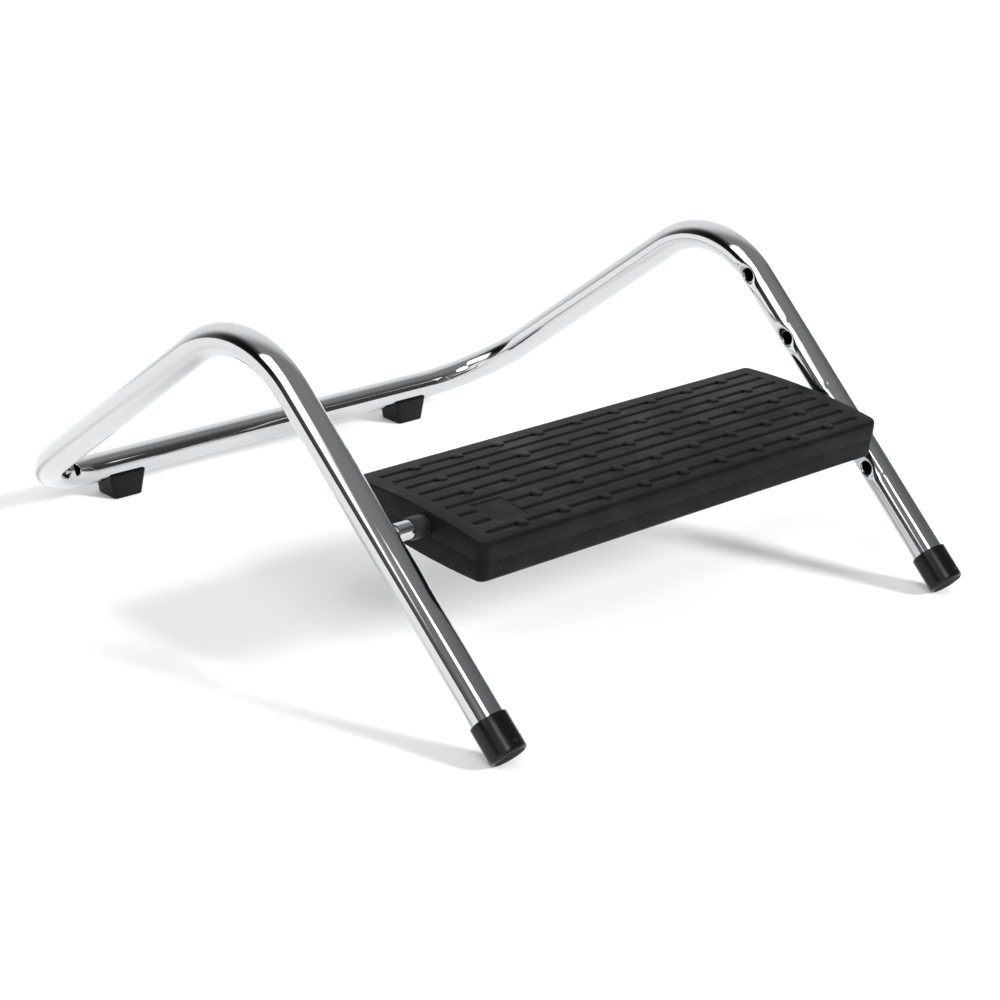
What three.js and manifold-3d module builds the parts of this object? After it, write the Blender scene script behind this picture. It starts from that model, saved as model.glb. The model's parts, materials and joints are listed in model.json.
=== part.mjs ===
// Tilting under-desk footrest: one bent chrome tube stands on two rubber foot caps and two
// rubber pads, and carries a moulded two-shell platform that turns on a pin at each end.
// The left pin is a spring plunger, so the platform can be let out of one pair of holes in
// the front legs and into another, for height.
// Millimetres. X runs along the platform, Y from the front to the rear, Z up, floor at zero.
import * as THREE from 'three';
import { mergeVertices } from 'three/addons/utils/BufferGeometryUtils.js';
import Module from 'manifold-3d';

const wasm = await Module();
wasm.setup();

// Driving dimensions of the frame
const tubeRadius = 11;
const tubeWall = 1.3;
const footSpan = 419.3;
const apexSpan = 436;
const rearSpan = 452.4;
const apexReach = 239.5;
const apexHeight = 222.3;
const rearReach = 496.3;
const rearBarHeight = 24.4;
const apexBendRadius = 76.2;
const rearBendRadius = 62.2;

// Height holes in the front legs, counted from the lowest
const holeCount = 4;
const axleHoleIndex = 1;
const firstHoleDistance = 99.7;
const holePitch = 56.4;
const holeRadius = 5.25;
const dimpleRadius = 9;
const dimpleDepth = 1.5;

// Vent hole that lets the plating bath drain from the tube, in its left rear bend
const ventRadius = 4.8;
const ventArcAngle = THREE.MathUtils.degToRad(65);
const ventRollAngle = THREE.MathUtils.degToRad(11);

// Driving dimensions of the platform, measured from the axle
const platformTilt = THREE.MathUtils.degToRad(3.4);
const leftEndGap = 24;
const rightEndGap = 7.5;
const rearOverhang = 73.5;
const frontOverhang = 55;
const crownHeight = 10.4;
const bellyDepth = 21.6;
const archRadius = 540;
const partingDrop = 5.3;
const cornerRadius = 7;
const edgeRadius = 3;
const shellWall = 2.6;
const treadThickness = 3;
const endDraft = 1.6;
const partingReveal = 0.5;

// Clearances, the overrun that every cut and every merged root shares, and the distance under
// which two corners of a surface are one
const clearance = 0.3;
const runningClearance = 0.1;
const overrun = 2;
const weldDistance = 1e-4;

// Rounds: how many flats stand in for a full turn
const tubeSides = 24;
const tubeBoreSides = 12;
const boreSides = 20;
const dishSides = 16;
const smallSides = 10;
const studSides = 8;
const bendSteps = 8;

const steel = { color: 0xb9bcc0, roughness: 0.35, metalness: 1 };
const chrome = { color: 0xd8dadd, roughness: 0.06, metalness: 1 };
const blackRubber = { color: 0x151516, roughness: 0.75, metalness: 0 };
const blackPlastic = { color: 0x1b1b1d, roughness: 0.55, metalness: 0 };
const blackNylon = { color: 0x121213, roughness: 0.4, metalness: 0 };

// A closed geometry as a solid that can be cut and joined
function toSolid(geometry) {
  const bare = geometry.index ? geometry.toNonIndexed() : geometry.clone();
  bare.deleteAttribute('normal');
  bare.deleteAttribute('uv');
  const merged = mergeVertices(bare, weldDistance);
  return new wasm.Manifold(new wasm.Mesh({
    numProp: 3,
    vertProperties: new Float32Array(merged.attributes.position.array),
    triVerts: new Uint32Array(merged.index.array),
  }));
}

function toGeometry(solid) {
  const mesh = solid.getMesh();
  const geometry = new THREE.BufferGeometry();
  geometry.setAttribute('position', new THREE.BufferAttribute(new Float32Array(mesh.vertProperties), 3));
  geometry.setIndex(new THREE.BufferAttribute(new Uint32Array(mesh.triVerts), 1));
  geometry.computeVertexNormals();
  return geometry;
}

function addPiece(parent, name, solid, look) {
  const piece = new THREE.Mesh(toGeometry(solid), new THREE.MeshStandardMaterial(look));
  piece.name = name;
  parent.add(piece);
  return piece;
}

// Boxes, rods and turned forms in place
function boxSolid(lowX, highX, lowY, highY, lowZ, highZ) {
  const geometry = new THREE.BoxGeometry(highX - lowX, highY - lowY, highZ - lowZ);
  geometry.translate((lowX + highX) / 2, (lowY + highY) / 2, (lowZ + highZ) / 2);
  return toSolid(geometry);
}

// A form turned round +Z from pairs of radius and height, then laid along a direction
function turnedSolid(profile, from, direction, sides) {
  const points = profile.map(([radius, height]) => new THREE.Vector2(radius, height));
  const geometry = new THREE.LatheGeometry(points, sides);
  const turn = new THREE.Quaternion().setFromUnitVectors(new THREE.Vector3(0, 1, 0), direction);
  geometry.applyQuaternion(turn);
  geometry.translate(from.x, from.y, from.z);
  return toSolid(geometry);
}

function rodSolid(radius, length, from, direction, sides) {
  const profile = [[0, 0], [radius, 0], [radius, length], [0, length]];
  return turnedSolid(profile, from, direction, sides);
}

function sleeveSolid(innerRadius, outerRadius, length, from, direction, sides) {
  const profile = [
    [innerRadius, 0], [outerRadius, 0], [outerRadius, length], [innerRadius, length], [innerRadius, 0],
  ];
  return turnedSolid(profile, from, direction, sides);
}

function alongX(x) {
  return new THREE.Vector3(x, 0, 0);
}

const plusX = new THREE.Vector3(1, 0, 0);
const minusX = new THREE.Vector3(-1, 0, 0);
const plusZ = new THREE.Vector3(0, 0, 1);
const minusZ = new THREE.Vector3(0, 0, -1);

// Foot caps
const capRadius = 12.5;
const capLength = 26;
const capFloor = 3.2;
const capRim = 2.5;
const capHeelFlat = 0.5;
const capMouthRim = 1;
const rimSteps = 4;

// The axis of a leg touches the floor circle of its cap's heel, so the slope follows from both
const heelHeight = capRim - capHeelFlat;
const heelToApex = Math.hypot(apexReach, apexHeight - heelHeight);
const heelToApexSlope = Math.atan2(apexHeight - heelHeight, apexReach);
const legSlope = heelToApexSlope - Math.asin((capRadius - capRim) / heelToApex);
const footY = -capRim * Math.cos(legSlope) - (capRadius - capRim) * Math.sin(legSlope);
const footZ = heelHeight - capRim * Math.sin(legSlope) + (capRadius - capRim) * Math.cos(legSlope);

// Corners of the frame's centreline on the side where side is 1 for right and -1 for left
function frameCorners(side) {
  return {
    foot: new THREE.Vector3(side * footSpan / 2, footY, footZ),
    apex: new THREE.Vector3(side * apexSpan / 2, apexReach, apexHeight),
    rear: new THREE.Vector3(side * rearSpan / 2, rearReach, rearBarHeight),
  };
}

function legDirection(side) {
  const { foot, apex } = frameCorners(side);
  return apex.sub(foot).normalize();
}

// A point on the axis of a front leg, at a distance from the floor end of its cap
function legPoint(side, distance) {
  return frameCorners(side).foot.addScaledVector(legDirection(side), distance);
}

// One bend: the arc that rounds off a corner between two straight runs
function bendArc(before, corner, after, radius) {
  const inward = corner.clone().sub(before).normalize();
  const outward = after.clone().sub(corner).normalize();
  const turn = inward.angleTo(outward);
  const start = corner.clone().addScaledVector(inward, -radius * Math.tan(turn / 2));
  const side = outward.clone().addScaledVector(inward, -outward.dot(inward)).normalize();
  const centre = start.clone().addScaledVector(side, radius);
  return { inward, side, centre, turn, radius };
}

function arcPoint({ inward, side, centre, radius }, angle) {
  return centre.clone()
    .addScaledVector(side, -radius * Math.cos(angle))
    .addScaledVector(inward, radius * Math.sin(angle));
}

function arcTangent({ inward, side }, angle) {
  return inward.clone().multiplyScalar(Math.cos(angle)).addScaledVector(side, Math.sin(angle));
}

// The bent tube's centreline, as stations that lie close together only in the bends
class BentCentreline extends THREE.Curve {
  constructor(start, bends, end, steps) {
    super();
    this.stations = [{ point: start, tangent: bends[0].inward }];
    for (const bend of bends) {
      for (let step = 0; step <= steps; step += 1) {
        const angle = bend.turn * step / steps;
        this.stations.push({ point: arcPoint(bend, angle), tangent: arcTangent(bend, angle) });
      }
    }
    this.stations.push({ point: end, tangent: end.clone().sub(this.stations.at(-1).point).normalize() });
  }

  stationAt(share) {
    return this.stations[Math.round(share * (this.stations.length - 1))];
  }

  getPointAt(share) {
    return this.stationAt(share).point.clone();
  }

  getTangentAt(share) {
    return this.stationAt(share).tangent.clone();
  }
}

const left = frameCorners(-1);
const right = frameCorners(1);
const bends = [
  bendArc(left.foot, left.apex, left.rear, apexBendRadius),
  bendArc(left.apex, left.rear, right.rear, rearBendRadius),
  bendArc(left.rear, right.rear, right.apex, rearBendRadius),
  bendArc(right.rear, right.apex, right.foot, apexBendRadius),
];
const tubeEndDistance = capFloor + clearance;

function sweptTube(radius, endDistance, sides) {
  const path = new BentCentreline(legPoint(-1, endDistance), bends, legPoint(1, endDistance), bendSteps);
  const circle = new THREE.Shape();
  circle.absarc(0, 0, radius, 0, 2 * Math.PI, false);
  const geometry = new THREE.ExtrudeGeometry(circle, {
    steps: path.stations.length - 1,
    curveSegments: sides / 2,
    bevelEnabled: false,
    extrudePath: path,
  });
  return toSolid(geometry);
}

// The inner face of a front leg at a hole, where the leg comes nearest to the platform
const axleDistance = firstHoleDistance + axleHoleIndex * holePitch;
const legLean = Math.asin((apexSpan - footSpan) / 2 / frameCorners(1).foot.distanceTo(frameCorners(1).apex));

function innerFaceX(side, distance) {
  return legPoint(side, distance).x - side * tubeRadius / Math.cos(legLean);
}

function holeCentre(side, distance) {
  const point = legPoint(side, distance);
  point.x = innerFaceX(side, distance);
  return point;
}

// Around each hole the wall is pressed in to a dish; the thickened skin behind it is the metal
// that the press has moved
function pressedSkin(side, distance) {
  const depth = dimpleDepth + tubeWall;
  const start = holeCentre(side, distance);
  const direction = side > 0 ? plusX : minusX;
  return rodSolid(dimpleRadius, depth, start, direction, dishSides);
}

function dishedHole(side, distance) {
  const direction = side > 0 ? plusX : minusX;
  const slope = (dimpleRadius - holeRadius) / dimpleDepth;
  const start = holeCentre(side, distance).addScaledVector(direction, -overrun);
  const profile = [
    [0, 0],
    [dimpleRadius + overrun * slope, 0],
    [holeRadius, overrun + dimpleDepth],
    [holeRadius, overrun + dimpleDepth + tubeWall + overrun],
    [0, overrun + dimpleDepth + tubeWall + overrun],
  ];
  return turnedSolid(profile, start, direction, dishSides);
}

function ventHole(bend, angle) {
  const start = arcPoint(bend, angle);
  const inside = bend.centre.clone().sub(start).normalize();
  inside.applyAxisAngle(arcTangent(bend, angle), ventRollAngle);
  return rodSolid(ventRadius, tubeRadius + overrun, start, inside, smallSides);
}

// A pad's screw goes up into a hole in the underside of the rear bar
const padOffset = 138.8;
const padScrewRadius = 1.9;
const padScrewHoleRadius = padScrewRadius + clearance;

function padScrewHole(side) {
  const start = new THREE.Vector3(side * padOffset, rearReach, rearBarHeight);
  return rodSolid(padScrewHoleRadius, tubeRadius + overrun, start, minusZ, smallSides);
}

function frameTube() {
  const outside = sweptTube(tubeRadius, tubeEndDistance, tubeSides);
  const middle = sweptTube(tubeRadius - tubeWall / 2, tubeEndDistance + tubeWall, tubeBoreSides);
  const bore = sweptTube(tubeRadius - tubeWall, tubeEndDistance - overrun, tubeBoreSides);
  let tube = outside.subtract(bore);
  for (const side of [-1, 1]) {
    for (let index = 0; index < holeCount; index += 1) {
      const distance = firstHoleDistance + index * holePitch;
      tube = tube.add(pressedSkin(side, distance).intersect(middle));
      tube = tube.subtract(dishedHole(side, distance));
    }
    tube = tube.subtract(padScrewHole(side));
  }
  const [, leftCorner] = bends;
  return tube.subtract(ventHole(leftCorner, ventArcAngle));
}

// A foot cap: a blind rubber cup pushed over the tube's end, worn flat where its heel stands
function quarterRound(centreRadius, centreHeight, radius, fromAngle) {
  return Array.from({ length: rimSteps + 1 }, (_, step) => {
    const angle = fromAngle + Math.PI / 2 * step / rimSteps;
    return [centreRadius + radius * Math.cos(angle), centreHeight + radius * Math.sin(angle)];
  });
}

function footCap(side) {
  const mouthRadius = tubeRadius + clearance;
  const profile = [
    [0, 0],
    ...quarterRound(capRadius - capRim, capRim, capRim, -Math.PI / 2),
    [capRadius, capLength - capMouthRim],
    [capRadius - capMouthRim, capLength],
    [mouthRadius, capLength],
    [mouthRadius, capFloor],
    [0, capFloor],
  ];
  const cap = turnedSolid(profile, legPoint(side, 0), legDirection(side), tubeSides);
  const reach = capLength + capRadius;
  const middle = side * footSpan / 2;
  const floor = boxSolid(middle - reach, middle + reach, -reach, reach, -reach, 0);
  return cap.subtract(floor);
}

// A rear pad: a tapered rubber block with a saddle for the bar, screwed up into it
const padFootLength = 24.7;
const padTopLength = 32;
const padDepth = 22.8;
const padHeight = 19;
const padScrewHeadRadius = 3.6;
const padScrewHeadHeight = 2.2;
const padScrewSeat = 6;
const padScrewReach = 4;

function rearPad(side) {
  const outline = new THREE.Shape();
  outline.moveTo(-padFootLength / 2, 0);
  outline.lineTo(padFootLength / 2, 0);
  outline.lineTo(padTopLength / 2, padHeight);
  outline.lineTo(-padTopLength / 2, padHeight);
  outline.closePath();
  const geometry = new THREE.ExtrudeGeometry(outline, { depth: padDepth, bevelEnabled: false });
  geometry.rotateX(Math.PI / 2);
  geometry.translate(side * padOffset, rearReach + padDepth / 2, 0);
  const barStart = new THREE.Vector3(side * padOffset - padTopLength, rearReach, rearBarHeight);
  const bar = rodSolid(tubeRadius + clearance, 2 * padTopLength, barStart, plusX, tubeSides);
  const under = new THREE.Vector3(side * padOffset, rearReach, -overrun);
  const headHole = rodSolid(padScrewHeadRadius + clearance, overrun + padScrewSeat, under, plusZ, smallSides);
  const shankHole = rodSolid(padScrewHoleRadius, overrun + rearBarHeight, under, plusZ, smallSides);
  return toSolid(geometry).subtract(bar).subtract(headHole).subtract(shankHole);
}

// Screws: a low round head with a hexagon socket, a shank and a blunt point
const socketSides = 6;
const socketShare = 0.5;
const socketDepthShare = 0.6;
const headBevelShare = 0.2;
const pointShare = 0.5;

function screwSolid(headRadius, headHeight, shankRadius, shankLength, from, direction) {
  const bevel = headRadius * headBevelShare;
  const tipRadius = shankRadius * pointShare;
  const profile = [
    [0, 0],
    [headRadius - bevel, 0],
    [headRadius, Math.min(bevel, headHeight / 2)],
    [headRadius, headHeight],
    [shankRadius, headHeight],
    [shankRadius, headHeight + shankLength - shankRadius],
    [tipRadius, headHeight + shankLength],
    [0, headHeight + shankLength],
  ];
  const body = turnedSolid(profile, from, direction, smallSides);
  const mouth = from.clone().addScaledVector(direction, -overrun);
  const socketDepth = overrun + headHeight * socketDepthShare;
  return body.subtract(rodSolid(headRadius * socketShare, socketDepth, mouth, direction, socketSides));
}

function padScrew(side) {
  const headStart = padScrewSeat - clearance - padScrewHeadHeight;
  const shankLength = rearBarHeight - tubeRadius + tubeWall + padScrewReach - padScrewSeat + clearance;
  const from = new THREE.Vector3(side * padOffset, rearReach, headStart);
  return screwSolid(padScrewHeadRadius, padScrewHeadHeight, padScrewRadius, shankLength, from, plusZ);
}

// The platform's ends, and heights on its arched top and belly, measured from the axle
const platformLeft = innerFaceX(-1, axleDistance) + leftEndGap;
const platformRight = innerFaceX(1, axleDistance) - rightEndGap;
const archSteps = 12;

function archSag(y) {
  return archRadius - Math.sqrt(archRadius ** 2 - y ** 2);
}

function topHeight(y) {
  return crownHeight - archSag(y);
}

function bottomHeight(y) {
  return archSag(y) - bellyDepth;
}

// Seen from above: a rectangle with rounded corners
function planSolid(inset) {
  const front = inset - frontOverhang;
  const rear = rearOverhang - inset;
  const low = platformLeft + inset;
  const high = platformRight - inset;
  const round = Math.max(cornerRadius - inset, clearance);
  const outline = new THREE.Shape();
  outline.moveTo(low + round, front);
  outline.lineTo(high - round, front);
  outline.absarc(high - round, front + round, round, -Math.PI / 2, 0, false);
  outline.absarc(high - round, rear - round, round, 0, Math.PI / 2, false);
  outline.absarc(low + round, rear - round, round, Math.PI / 2, Math.PI, false);
  outline.absarc(low + round, front + round, round, Math.PI, 3 * Math.PI / 2, false);
  const bottom = -bellyDepth - overrun;
  const depth = crownHeight + overrun - bottom;
  const geometry = new THREE.ExtrudeGeometry(outline, { depth, curveSegments: 4, bevelEnabled: false });
  geometry.translate(0, 0, bottom);
  return toSolid(geometry);
}

// Seen from the end: an arched top and belly, and upright front and rear with rounded edges
function profileSolid(inset, topInset, bellyInset) {
  const front = inset - frontOverhang;
  const rear = rearOverhang - inset;
  const round = Math.max(edgeRadius - inset, clearance);
  const top = (y) => topHeight(y) - topInset;
  const bottom = (y) => bottomHeight(y) + bellyInset;
  const outline = new THREE.Shape();
  outline.moveTo(front, bottom(front) + round);
  outline.quadraticCurveTo(front, bottom(front), front + round, bottom(front + round));
  for (let step = 1; step <= archSteps; step += 1) {
    const y = front + round + (rear - front - 2 * round) * step / archSteps;
    outline.lineTo(y, bottom(y));
  }
  outline.quadraticCurveTo(rear, bottom(rear), rear, bottom(rear) + round);
  outline.lineTo(rear, top(rear) - round);
  outline.quadraticCurveTo(rear, top(rear), rear - round, top(rear - round));
  for (let step = 1; step <= archSteps; step += 1) {
    const y = rear - round - (rear - front - 2 * round) * step / archSteps;
    outline.lineTo(y, top(y));
  }
  outline.quadraticCurveTo(front, top(front), front, top(front) - round);
  outline.closePath();
  const depth = platformRight - platformLeft + 2 * overrun;
  const geometry = new THREE.ExtrudeGeometry(outline, { depth, curveSegments: 3, bevelEnabled: false });
  geometry.rotateY(Math.PI / 2);
  geometry.rotateX(Math.PI / 2);
  geometry.translate(platformLeft - overrun, 0, 0);
  return toSolid(geometry);
}

// Seen from the front: the ends lean in below the parting line
function draftSolid(inset) {
  const outline = new THREE.Shape();
  const low = platformLeft + inset;
  const high = platformRight - inset;
  const top = crownHeight + overrun;
  const bottom = -bellyDepth - overrun;
  outline.moveTo(low + endDraft, bottom);
  outline.lineTo(high - endDraft, bottom);
  outline.lineTo(high, -partingDrop);
  outline.lineTo(high, top);
  outline.lineTo(low, top);
  outline.lineTo(low, -partingDrop);
  outline.closePath();
  const depth = frontOverhang + rearOverhang + 2 * overrun;
  const geometry = new THREE.ExtrudeGeometry(outline, { depth, bevelEnabled: false });
  geometry.rotateX(Math.PI / 2);
  geometry.translate(0, rearOverhang + overrun, 0);
  return toSolid(geometry);
}

function platformForm(inset, topInset, bellyInset) {
  return planSolid(inset).intersect(profileSolid(inset, topInset, bellyInset)).intersect(draftSolid(inset));
}

function platformBand(lowZ, highZ) {
  return boxSolid(platformLeft - overrun, platformRight + overrun,
    -frontOverhang - overrun, rearOverhang + overrun, lowZ, highZ);
}

const aboveParting = platformBand(-partingDrop, crownHeight + 2 * overrun);
const belowParting = platformBand(-bellyDepth - 2 * overrun, -partingDrop - clearance);

// Pins, plunger and axle tube
const pinRadius = 6.1;
const noseRadius = 5;
const noseLength = 7.5;
const noseBevel = 1.2;
const plungerTravel = 9;
const leftCollarLength = 8;
const rightCollarLength = 4.5;
const bushCollarRadius = 7.7;
const bushSleeveLength = 14;
const bushWall = 0.8;
const bushBevel = 1;
const axleTubeWall = 1.2;
const crossPinRadius = 2;
const stopPinInset = 18;
const plungerShoulder = 8;
const plungerTailRadius = 3;
const plungerTailLength = 12;
const springLength = 42;
const springWireRadius = 0.6;
const springTurns = 9;
const springSteps = 8;
const fixedPinGrip = 40;
const fixedPinInset = 14;

const pinBoreRadius = pinRadius + runningClearance;
const axleTubeRadius = pinBoreRadius + axleTubeWall;
const bushSleeveRadius = pinBoreRadius + bushWall;
const axleTubeLeft = platformLeft + bushSleeveLength;
const axleTubeRight = platformRight - bushSleeveLength;
const leftShoulder = innerFaceX(-1, axleDistance) + clearance;
const rightShoulder = innerFaceX(1, axleDistance) - clearance;
const stopPinX = axleTubeLeft + stopPinInset;
const slotInner = stopPinX + crossPinRadius + clearance;
const slotOuter = stopPinX - crossPinRadius - clearance - plungerTravel;
const plungerInner = slotInner + plungerShoulder;
const seatPinX = plungerInner + springLength + crossPinRadius + clearance;
const fixedPinInner = axleTubeRight - fixedPinGrip;
const fixedPinX = axleTubeRight - fixedPinInset;

// A pin turned on one axis: body in the tube, shoulder against the leg, nose in the leg's hole
function pinSolid(innerX, shoulderX, direction) {
  const shoulder = Math.abs(shoulderX - innerX);
  const tip = shoulder + noseLength;
  const profile = [
    [0, 0],
    [pinRadius, 0],
    [pinRadius, shoulder],
    [noseRadius, shoulder],
    [noseRadius, tip - noseBevel],
    [noseRadius - noseBevel, tip],
    [0, tip],
  ];
  return turnedSolid(profile, alongX(innerX), direction, boreSides);
}

// The plunger's thin tail guides its spring, and its slot lets it slide past the stop pin
function leftPlunger() {
  const tailStart = alongX(plungerInner - overrun);
  const tail = rodSolid(plungerTailRadius, overrun + plungerTailLength, tailStart, plusX, boreSides);
  const halfSlot = crossPinRadius + clearance;
  const slot = boxSolid(slotOuter, slotInner, -halfSlot, halfSlot, -pinBoreRadius, pinBoreRadius);
  return pinSolid(plungerInner, leftShoulder, minusX).add(tail).subtract(slot);
}

function crossHole(x) {
  const half = axleTubeRadius + overrun;
  const start = new THREE.Vector3(x, 0, -half);
  return rodSolid(crossPinRadius + clearance, 2 * half, start, plusZ, smallSides);
}

function crossPin(x) {
  const start = new THREE.Vector3(x, 0, -axleTubeRadius + clearance);
  return rodSolid(crossPinRadius, 2 * (axleTubeRadius - clearance), start, plusZ, smallSides);
}

function rightPin() {
  return pinSolid(fixedPinInner, rightShoulder, plusX).subtract(crossHole(fixedPinX));
}

function axleTube() {
  const length = axleTubeRight - axleTubeLeft;
  const tube = sleeveSolid(pinBoreRadius, axleTubeRadius, length, alongX(axleTubeLeft), plusX, boreSides);
  return [stopPinX, seatPinX, fixedPinX].reduce((solid, x) => solid.subtract(crossHole(x)), tube);
}

// A bush pushed in from outside: its collar is the black boss round the pin
function endBush(faceX, outward, collarLength) {
  const sleeveLength = bushSleeveLength - clearance;
  const collar = sleeveLength + clearance;
  const profile = [
    [pinBoreRadius, 0],
    [bushSleeveRadius, 0],
    [bushSleeveRadius, collar],
    [bushCollarRadius, collar],
    [bushCollarRadius, collar + collarLength - bushBevel],
    [bushCollarRadius - bushBevel, collar + collarLength],
    [pinBoreRadius, collar + collarLength],
    [pinBoreRadius, 0],
  ];
  const start = alongX(faceX).addScaledVector(outward, -sleeveLength);
  return turnedSolid(profile, start, outward, boreSides);
}

class Coil extends THREE.Curve {
  constructor(radius, startX, length, turns) {
    super();
    Object.assign(this, { radius, startX, length, turns });
  }

  getPoint(share) {
    const angle = 2 * Math.PI * this.turns * share;
    const y = this.radius * Math.cos(angle);
    return new THREE.Vector3(this.startX + this.length * share, y, this.radius * Math.sin(angle));
  }
}

function plungerSpring() {
  const coilRadius = pinBoreRadius - clearance - springWireRadius;
  const start = plungerInner + clearance + springWireRadius;
  const end = seatPinX - crossPinRadius - clearance - springWireRadius;
  const wire = new THREE.Shape();
  wire.absarc(0, 0, springWireRadius, 0, 2 * Math.PI, false);
  const path = new Coil(coilRadius, start, end - start, springTurns);
  return toSolid(new THREE.ExtrudeGeometry(wire, {
    steps: springTurns * springSteps,
    curveSegments: 3,
    bevelEnabled: false,
    extrudePath: path,
  }));
}

// Tread: long grooves, with rows of round studs on every second one, and a smooth recess near
// the left front corner that carries no marking
const grooveCount = 9;
const grooveMargin = 16.6;
const groovePitch = 12.56;
const grooveWidth = 2.2;
const grooveDepth = 1.2;
const grooveEndMargin = 12.3;
const studColumns = 9;
const studPitch = 36.3;
const studRadius = 3.7;
const studHeight = 1;
const studTaper = 0.4;
const recessDepth = 0.4;
const recessInset = 27.5;
const recessLength = 26;
const recessFirstGroove = 6;
const recessGrooves = 2;
const recessMargin = 3;

const platformMiddle = (platformLeft + platformRight) / 2;
const recessLow = platformLeft + recessInset;
const recessHigh = recessLow + recessLength;

function grooveY(index) {
  return rearOverhang - grooveMargin - index * groovePitch;
}

const recessRear = grooveY(recessFirstGroove) + (groovePitch - grooveWidth) / 2 + recessMargin;
const recessFront = grooveY(recessFirstGroove + recessGrooves - 1) - (groovePitch - grooveWidth) / 2;

function grooveCutter(lowX, highX, y) {
  const floor = topHeight(y) - grooveDepth;
  return boxSolid(lowX, highX, y - grooveWidth / 2, y + grooveWidth / 2, floor, topHeight(y) + overrun);
}

function grooveCutters() {
  const low = platformLeft + grooveEndMargin;
  const high = platformRight - grooveEndMargin;
  return Array.from({ length: grooveCount }, (_, index) => {
    const y = grooveY(index);
    const crossesRecess = index >= recessFirstGroove && index < recessFirstGroove + recessGrooves;
    const spans = crossesRecess ? [[low, recessLow], [recessHigh, high]] : [[low, high]];
    return spans.map(([from, to]) => grooveCutter(from, to, y));
  }).flat();
}

function recessCutter() {
  const lowZ = Math.min(topHeight(recessFront), topHeight(recessRear)) - overrun;
  const block = boxSolid(recessLow, recessHigh, recessFront, recessRear, lowZ, crownHeight + overrun);
  return block.subtract(platformForm(0, recessDepth, 0));
}

function studSolid(x, y) {
  const root = grooveDepth + recessDepth;
  const profile = [
    [0, 0],
    [studRadius, 0],
    [studRadius, root],
    [studRadius - studTaper, root + studHeight],
    [0, root + studHeight],
  ];
  const start = new THREE.Vector3(x, y, topHeight(y) - root);
  return turnedSolid(profile, start, plusZ, studSides);
}

function studs() {
  const solids = [];
  for (let row = 0; row < grooveCount; row += 2) {
    for (let column = 0; column < studColumns; column += 1) {
      const x = platformMiddle + (column - (studColumns - 1) / 2) * studPitch;
      const y = grooveY(row);
      const overRecess = x > recessLow - studRadius && x < recessHigh + studRadius
        && y > recessFront - studRadius && y < recessRear + studRadius;
      if (!overRecess) {
        solids.push(studSolid(x, y));
      }
    }
  }
  return solids;
}

// Ribs that hold the axle tube, and the columns that the shell screws pass up through
const ribCount = 6;
const ribThickness = 2.4;
const screwColumns = 4;
const screwRowInset = 15;
const columnRadius = 4.8;
const shellScrewRadius = 1.7;
const shellScrewHeadRadius = 3.3;
const shellScrewHeadHeight = 2.2;
const screwSeatDepth = 5;
const screwTipGap = 2.1;
const rootShare = 0.6;
const tubeClearanceRadius = axleTubeRadius + clearance;

function evenPlaces(count) {
  const length = platformRight - platformLeft;
  return Array.from({ length: count }, (_, index) => platformLeft + length * (index + 0.5) / count);
}

const screwRows = [screwRowInset - frontOverhang, rearOverhang - screwRowInset];
const screwPlaces = evenPlaces(screwColumns).flatMap((x) => screwRows.map((y) => ({ x, y })));

function screwSeatHeight(y) {
  return bottomHeight(y) + screwSeatDepth;
}

// All shell screws are alike, as long as the shallower row of columns allows
const screwRooms = screwRows.map((y) => topHeight(y) - treadThickness - screwSeatHeight(y));
const shellScrewLength = Math.min(...screwRooms) - screwTipGap;

function ribSolids() {
  return evenPlaces(ribCount).map((x) => boxSolid(x - ribThickness / 2, x + ribThickness / 2,
    -frontOverhang, rearOverhang, -bellyDepth - overrun, crownHeight + overrun));
}

function columnSolids() {
  const start = -bellyDepth - overrun;
  return screwPlaces.map(({ x, y }) => rodSolid(columnRadius, crownHeight + overrun - start,
    new THREE.Vector3(x, y, start), plusZ, smallSides));
}

// A shell with its ribs and columns, which are rooted half way into its walls
function ribbedShell(outer, band) {
  const cavity = platformForm(shellWall, treadThickness, shellWall);
  const roots = platformForm(shellWall * rootShare, treadThickness * rootShare, shellWall * rootShare);
  const insides = wasm.Manifold.union([...ribSolids(), ...columnSolids()]);
  const shell = outer.subtract(cavity).add(insides.intersect(roots)).intersect(band);
  const wallLeft = platformLeft + shellWall + endDraft;
  const wallRight = platformRight - shellWall - endDraft;
  const tubeSpace = rodSolid(tubeClearanceRadius, wallRight - wallLeft, alongX(wallLeft), plusX, boreSides);
  const boreStart = alongX(platformLeft - overrun);
  const boreLength = platformRight - platformLeft + 2 * overrun;
  const endBores = rodSolid(bushSleeveRadius + clearance, boreLength, boreStart, plusX, boreSides);
  return shell.subtract(tubeSpace).subtract(endBores);
}

function treadShell() {
  let shell = ribbedShell(platformForm(0, 0, 0), aboveParting);
  shell = shell.subtract(wasm.Manifold.union([...grooveCutters(), recessCutter()]));
  shell = shell.add(wasm.Manifold.union(studs()));
  const pilots = screwPlaces.map(({ x, y }) => {
    const start = new THREE.Vector3(x, y, -partingDrop - overrun);
    const depth = topHeight(y) - treadThickness + partingDrop + overrun;
    return rodSolid(shellScrewRadius + clearance, depth, start, plusZ, smallSides);
  });
  return shell.subtract(wasm.Manifold.union(pilots));
}

function lowerShell() {
  const shell = ribbedShell(platformForm(partingReveal, 0, 0), belowParting);
  const holes = screwPlaces.flatMap(({ x, y }) => {
    const start = new THREE.Vector3(x, y, -bellyDepth - overrun);
    const seat = screwSeatHeight(y) - start.z;
    return [
      rodSolid(shellScrewHeadRadius + clearance, seat, start, plusZ, smallSides),
      rodSolid(shellScrewRadius + clearance, bellyDepth + overrun, start, plusZ, smallSides),
    ];
  });
  return shell.subtract(wasm.Manifold.union(holes));
}

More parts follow.
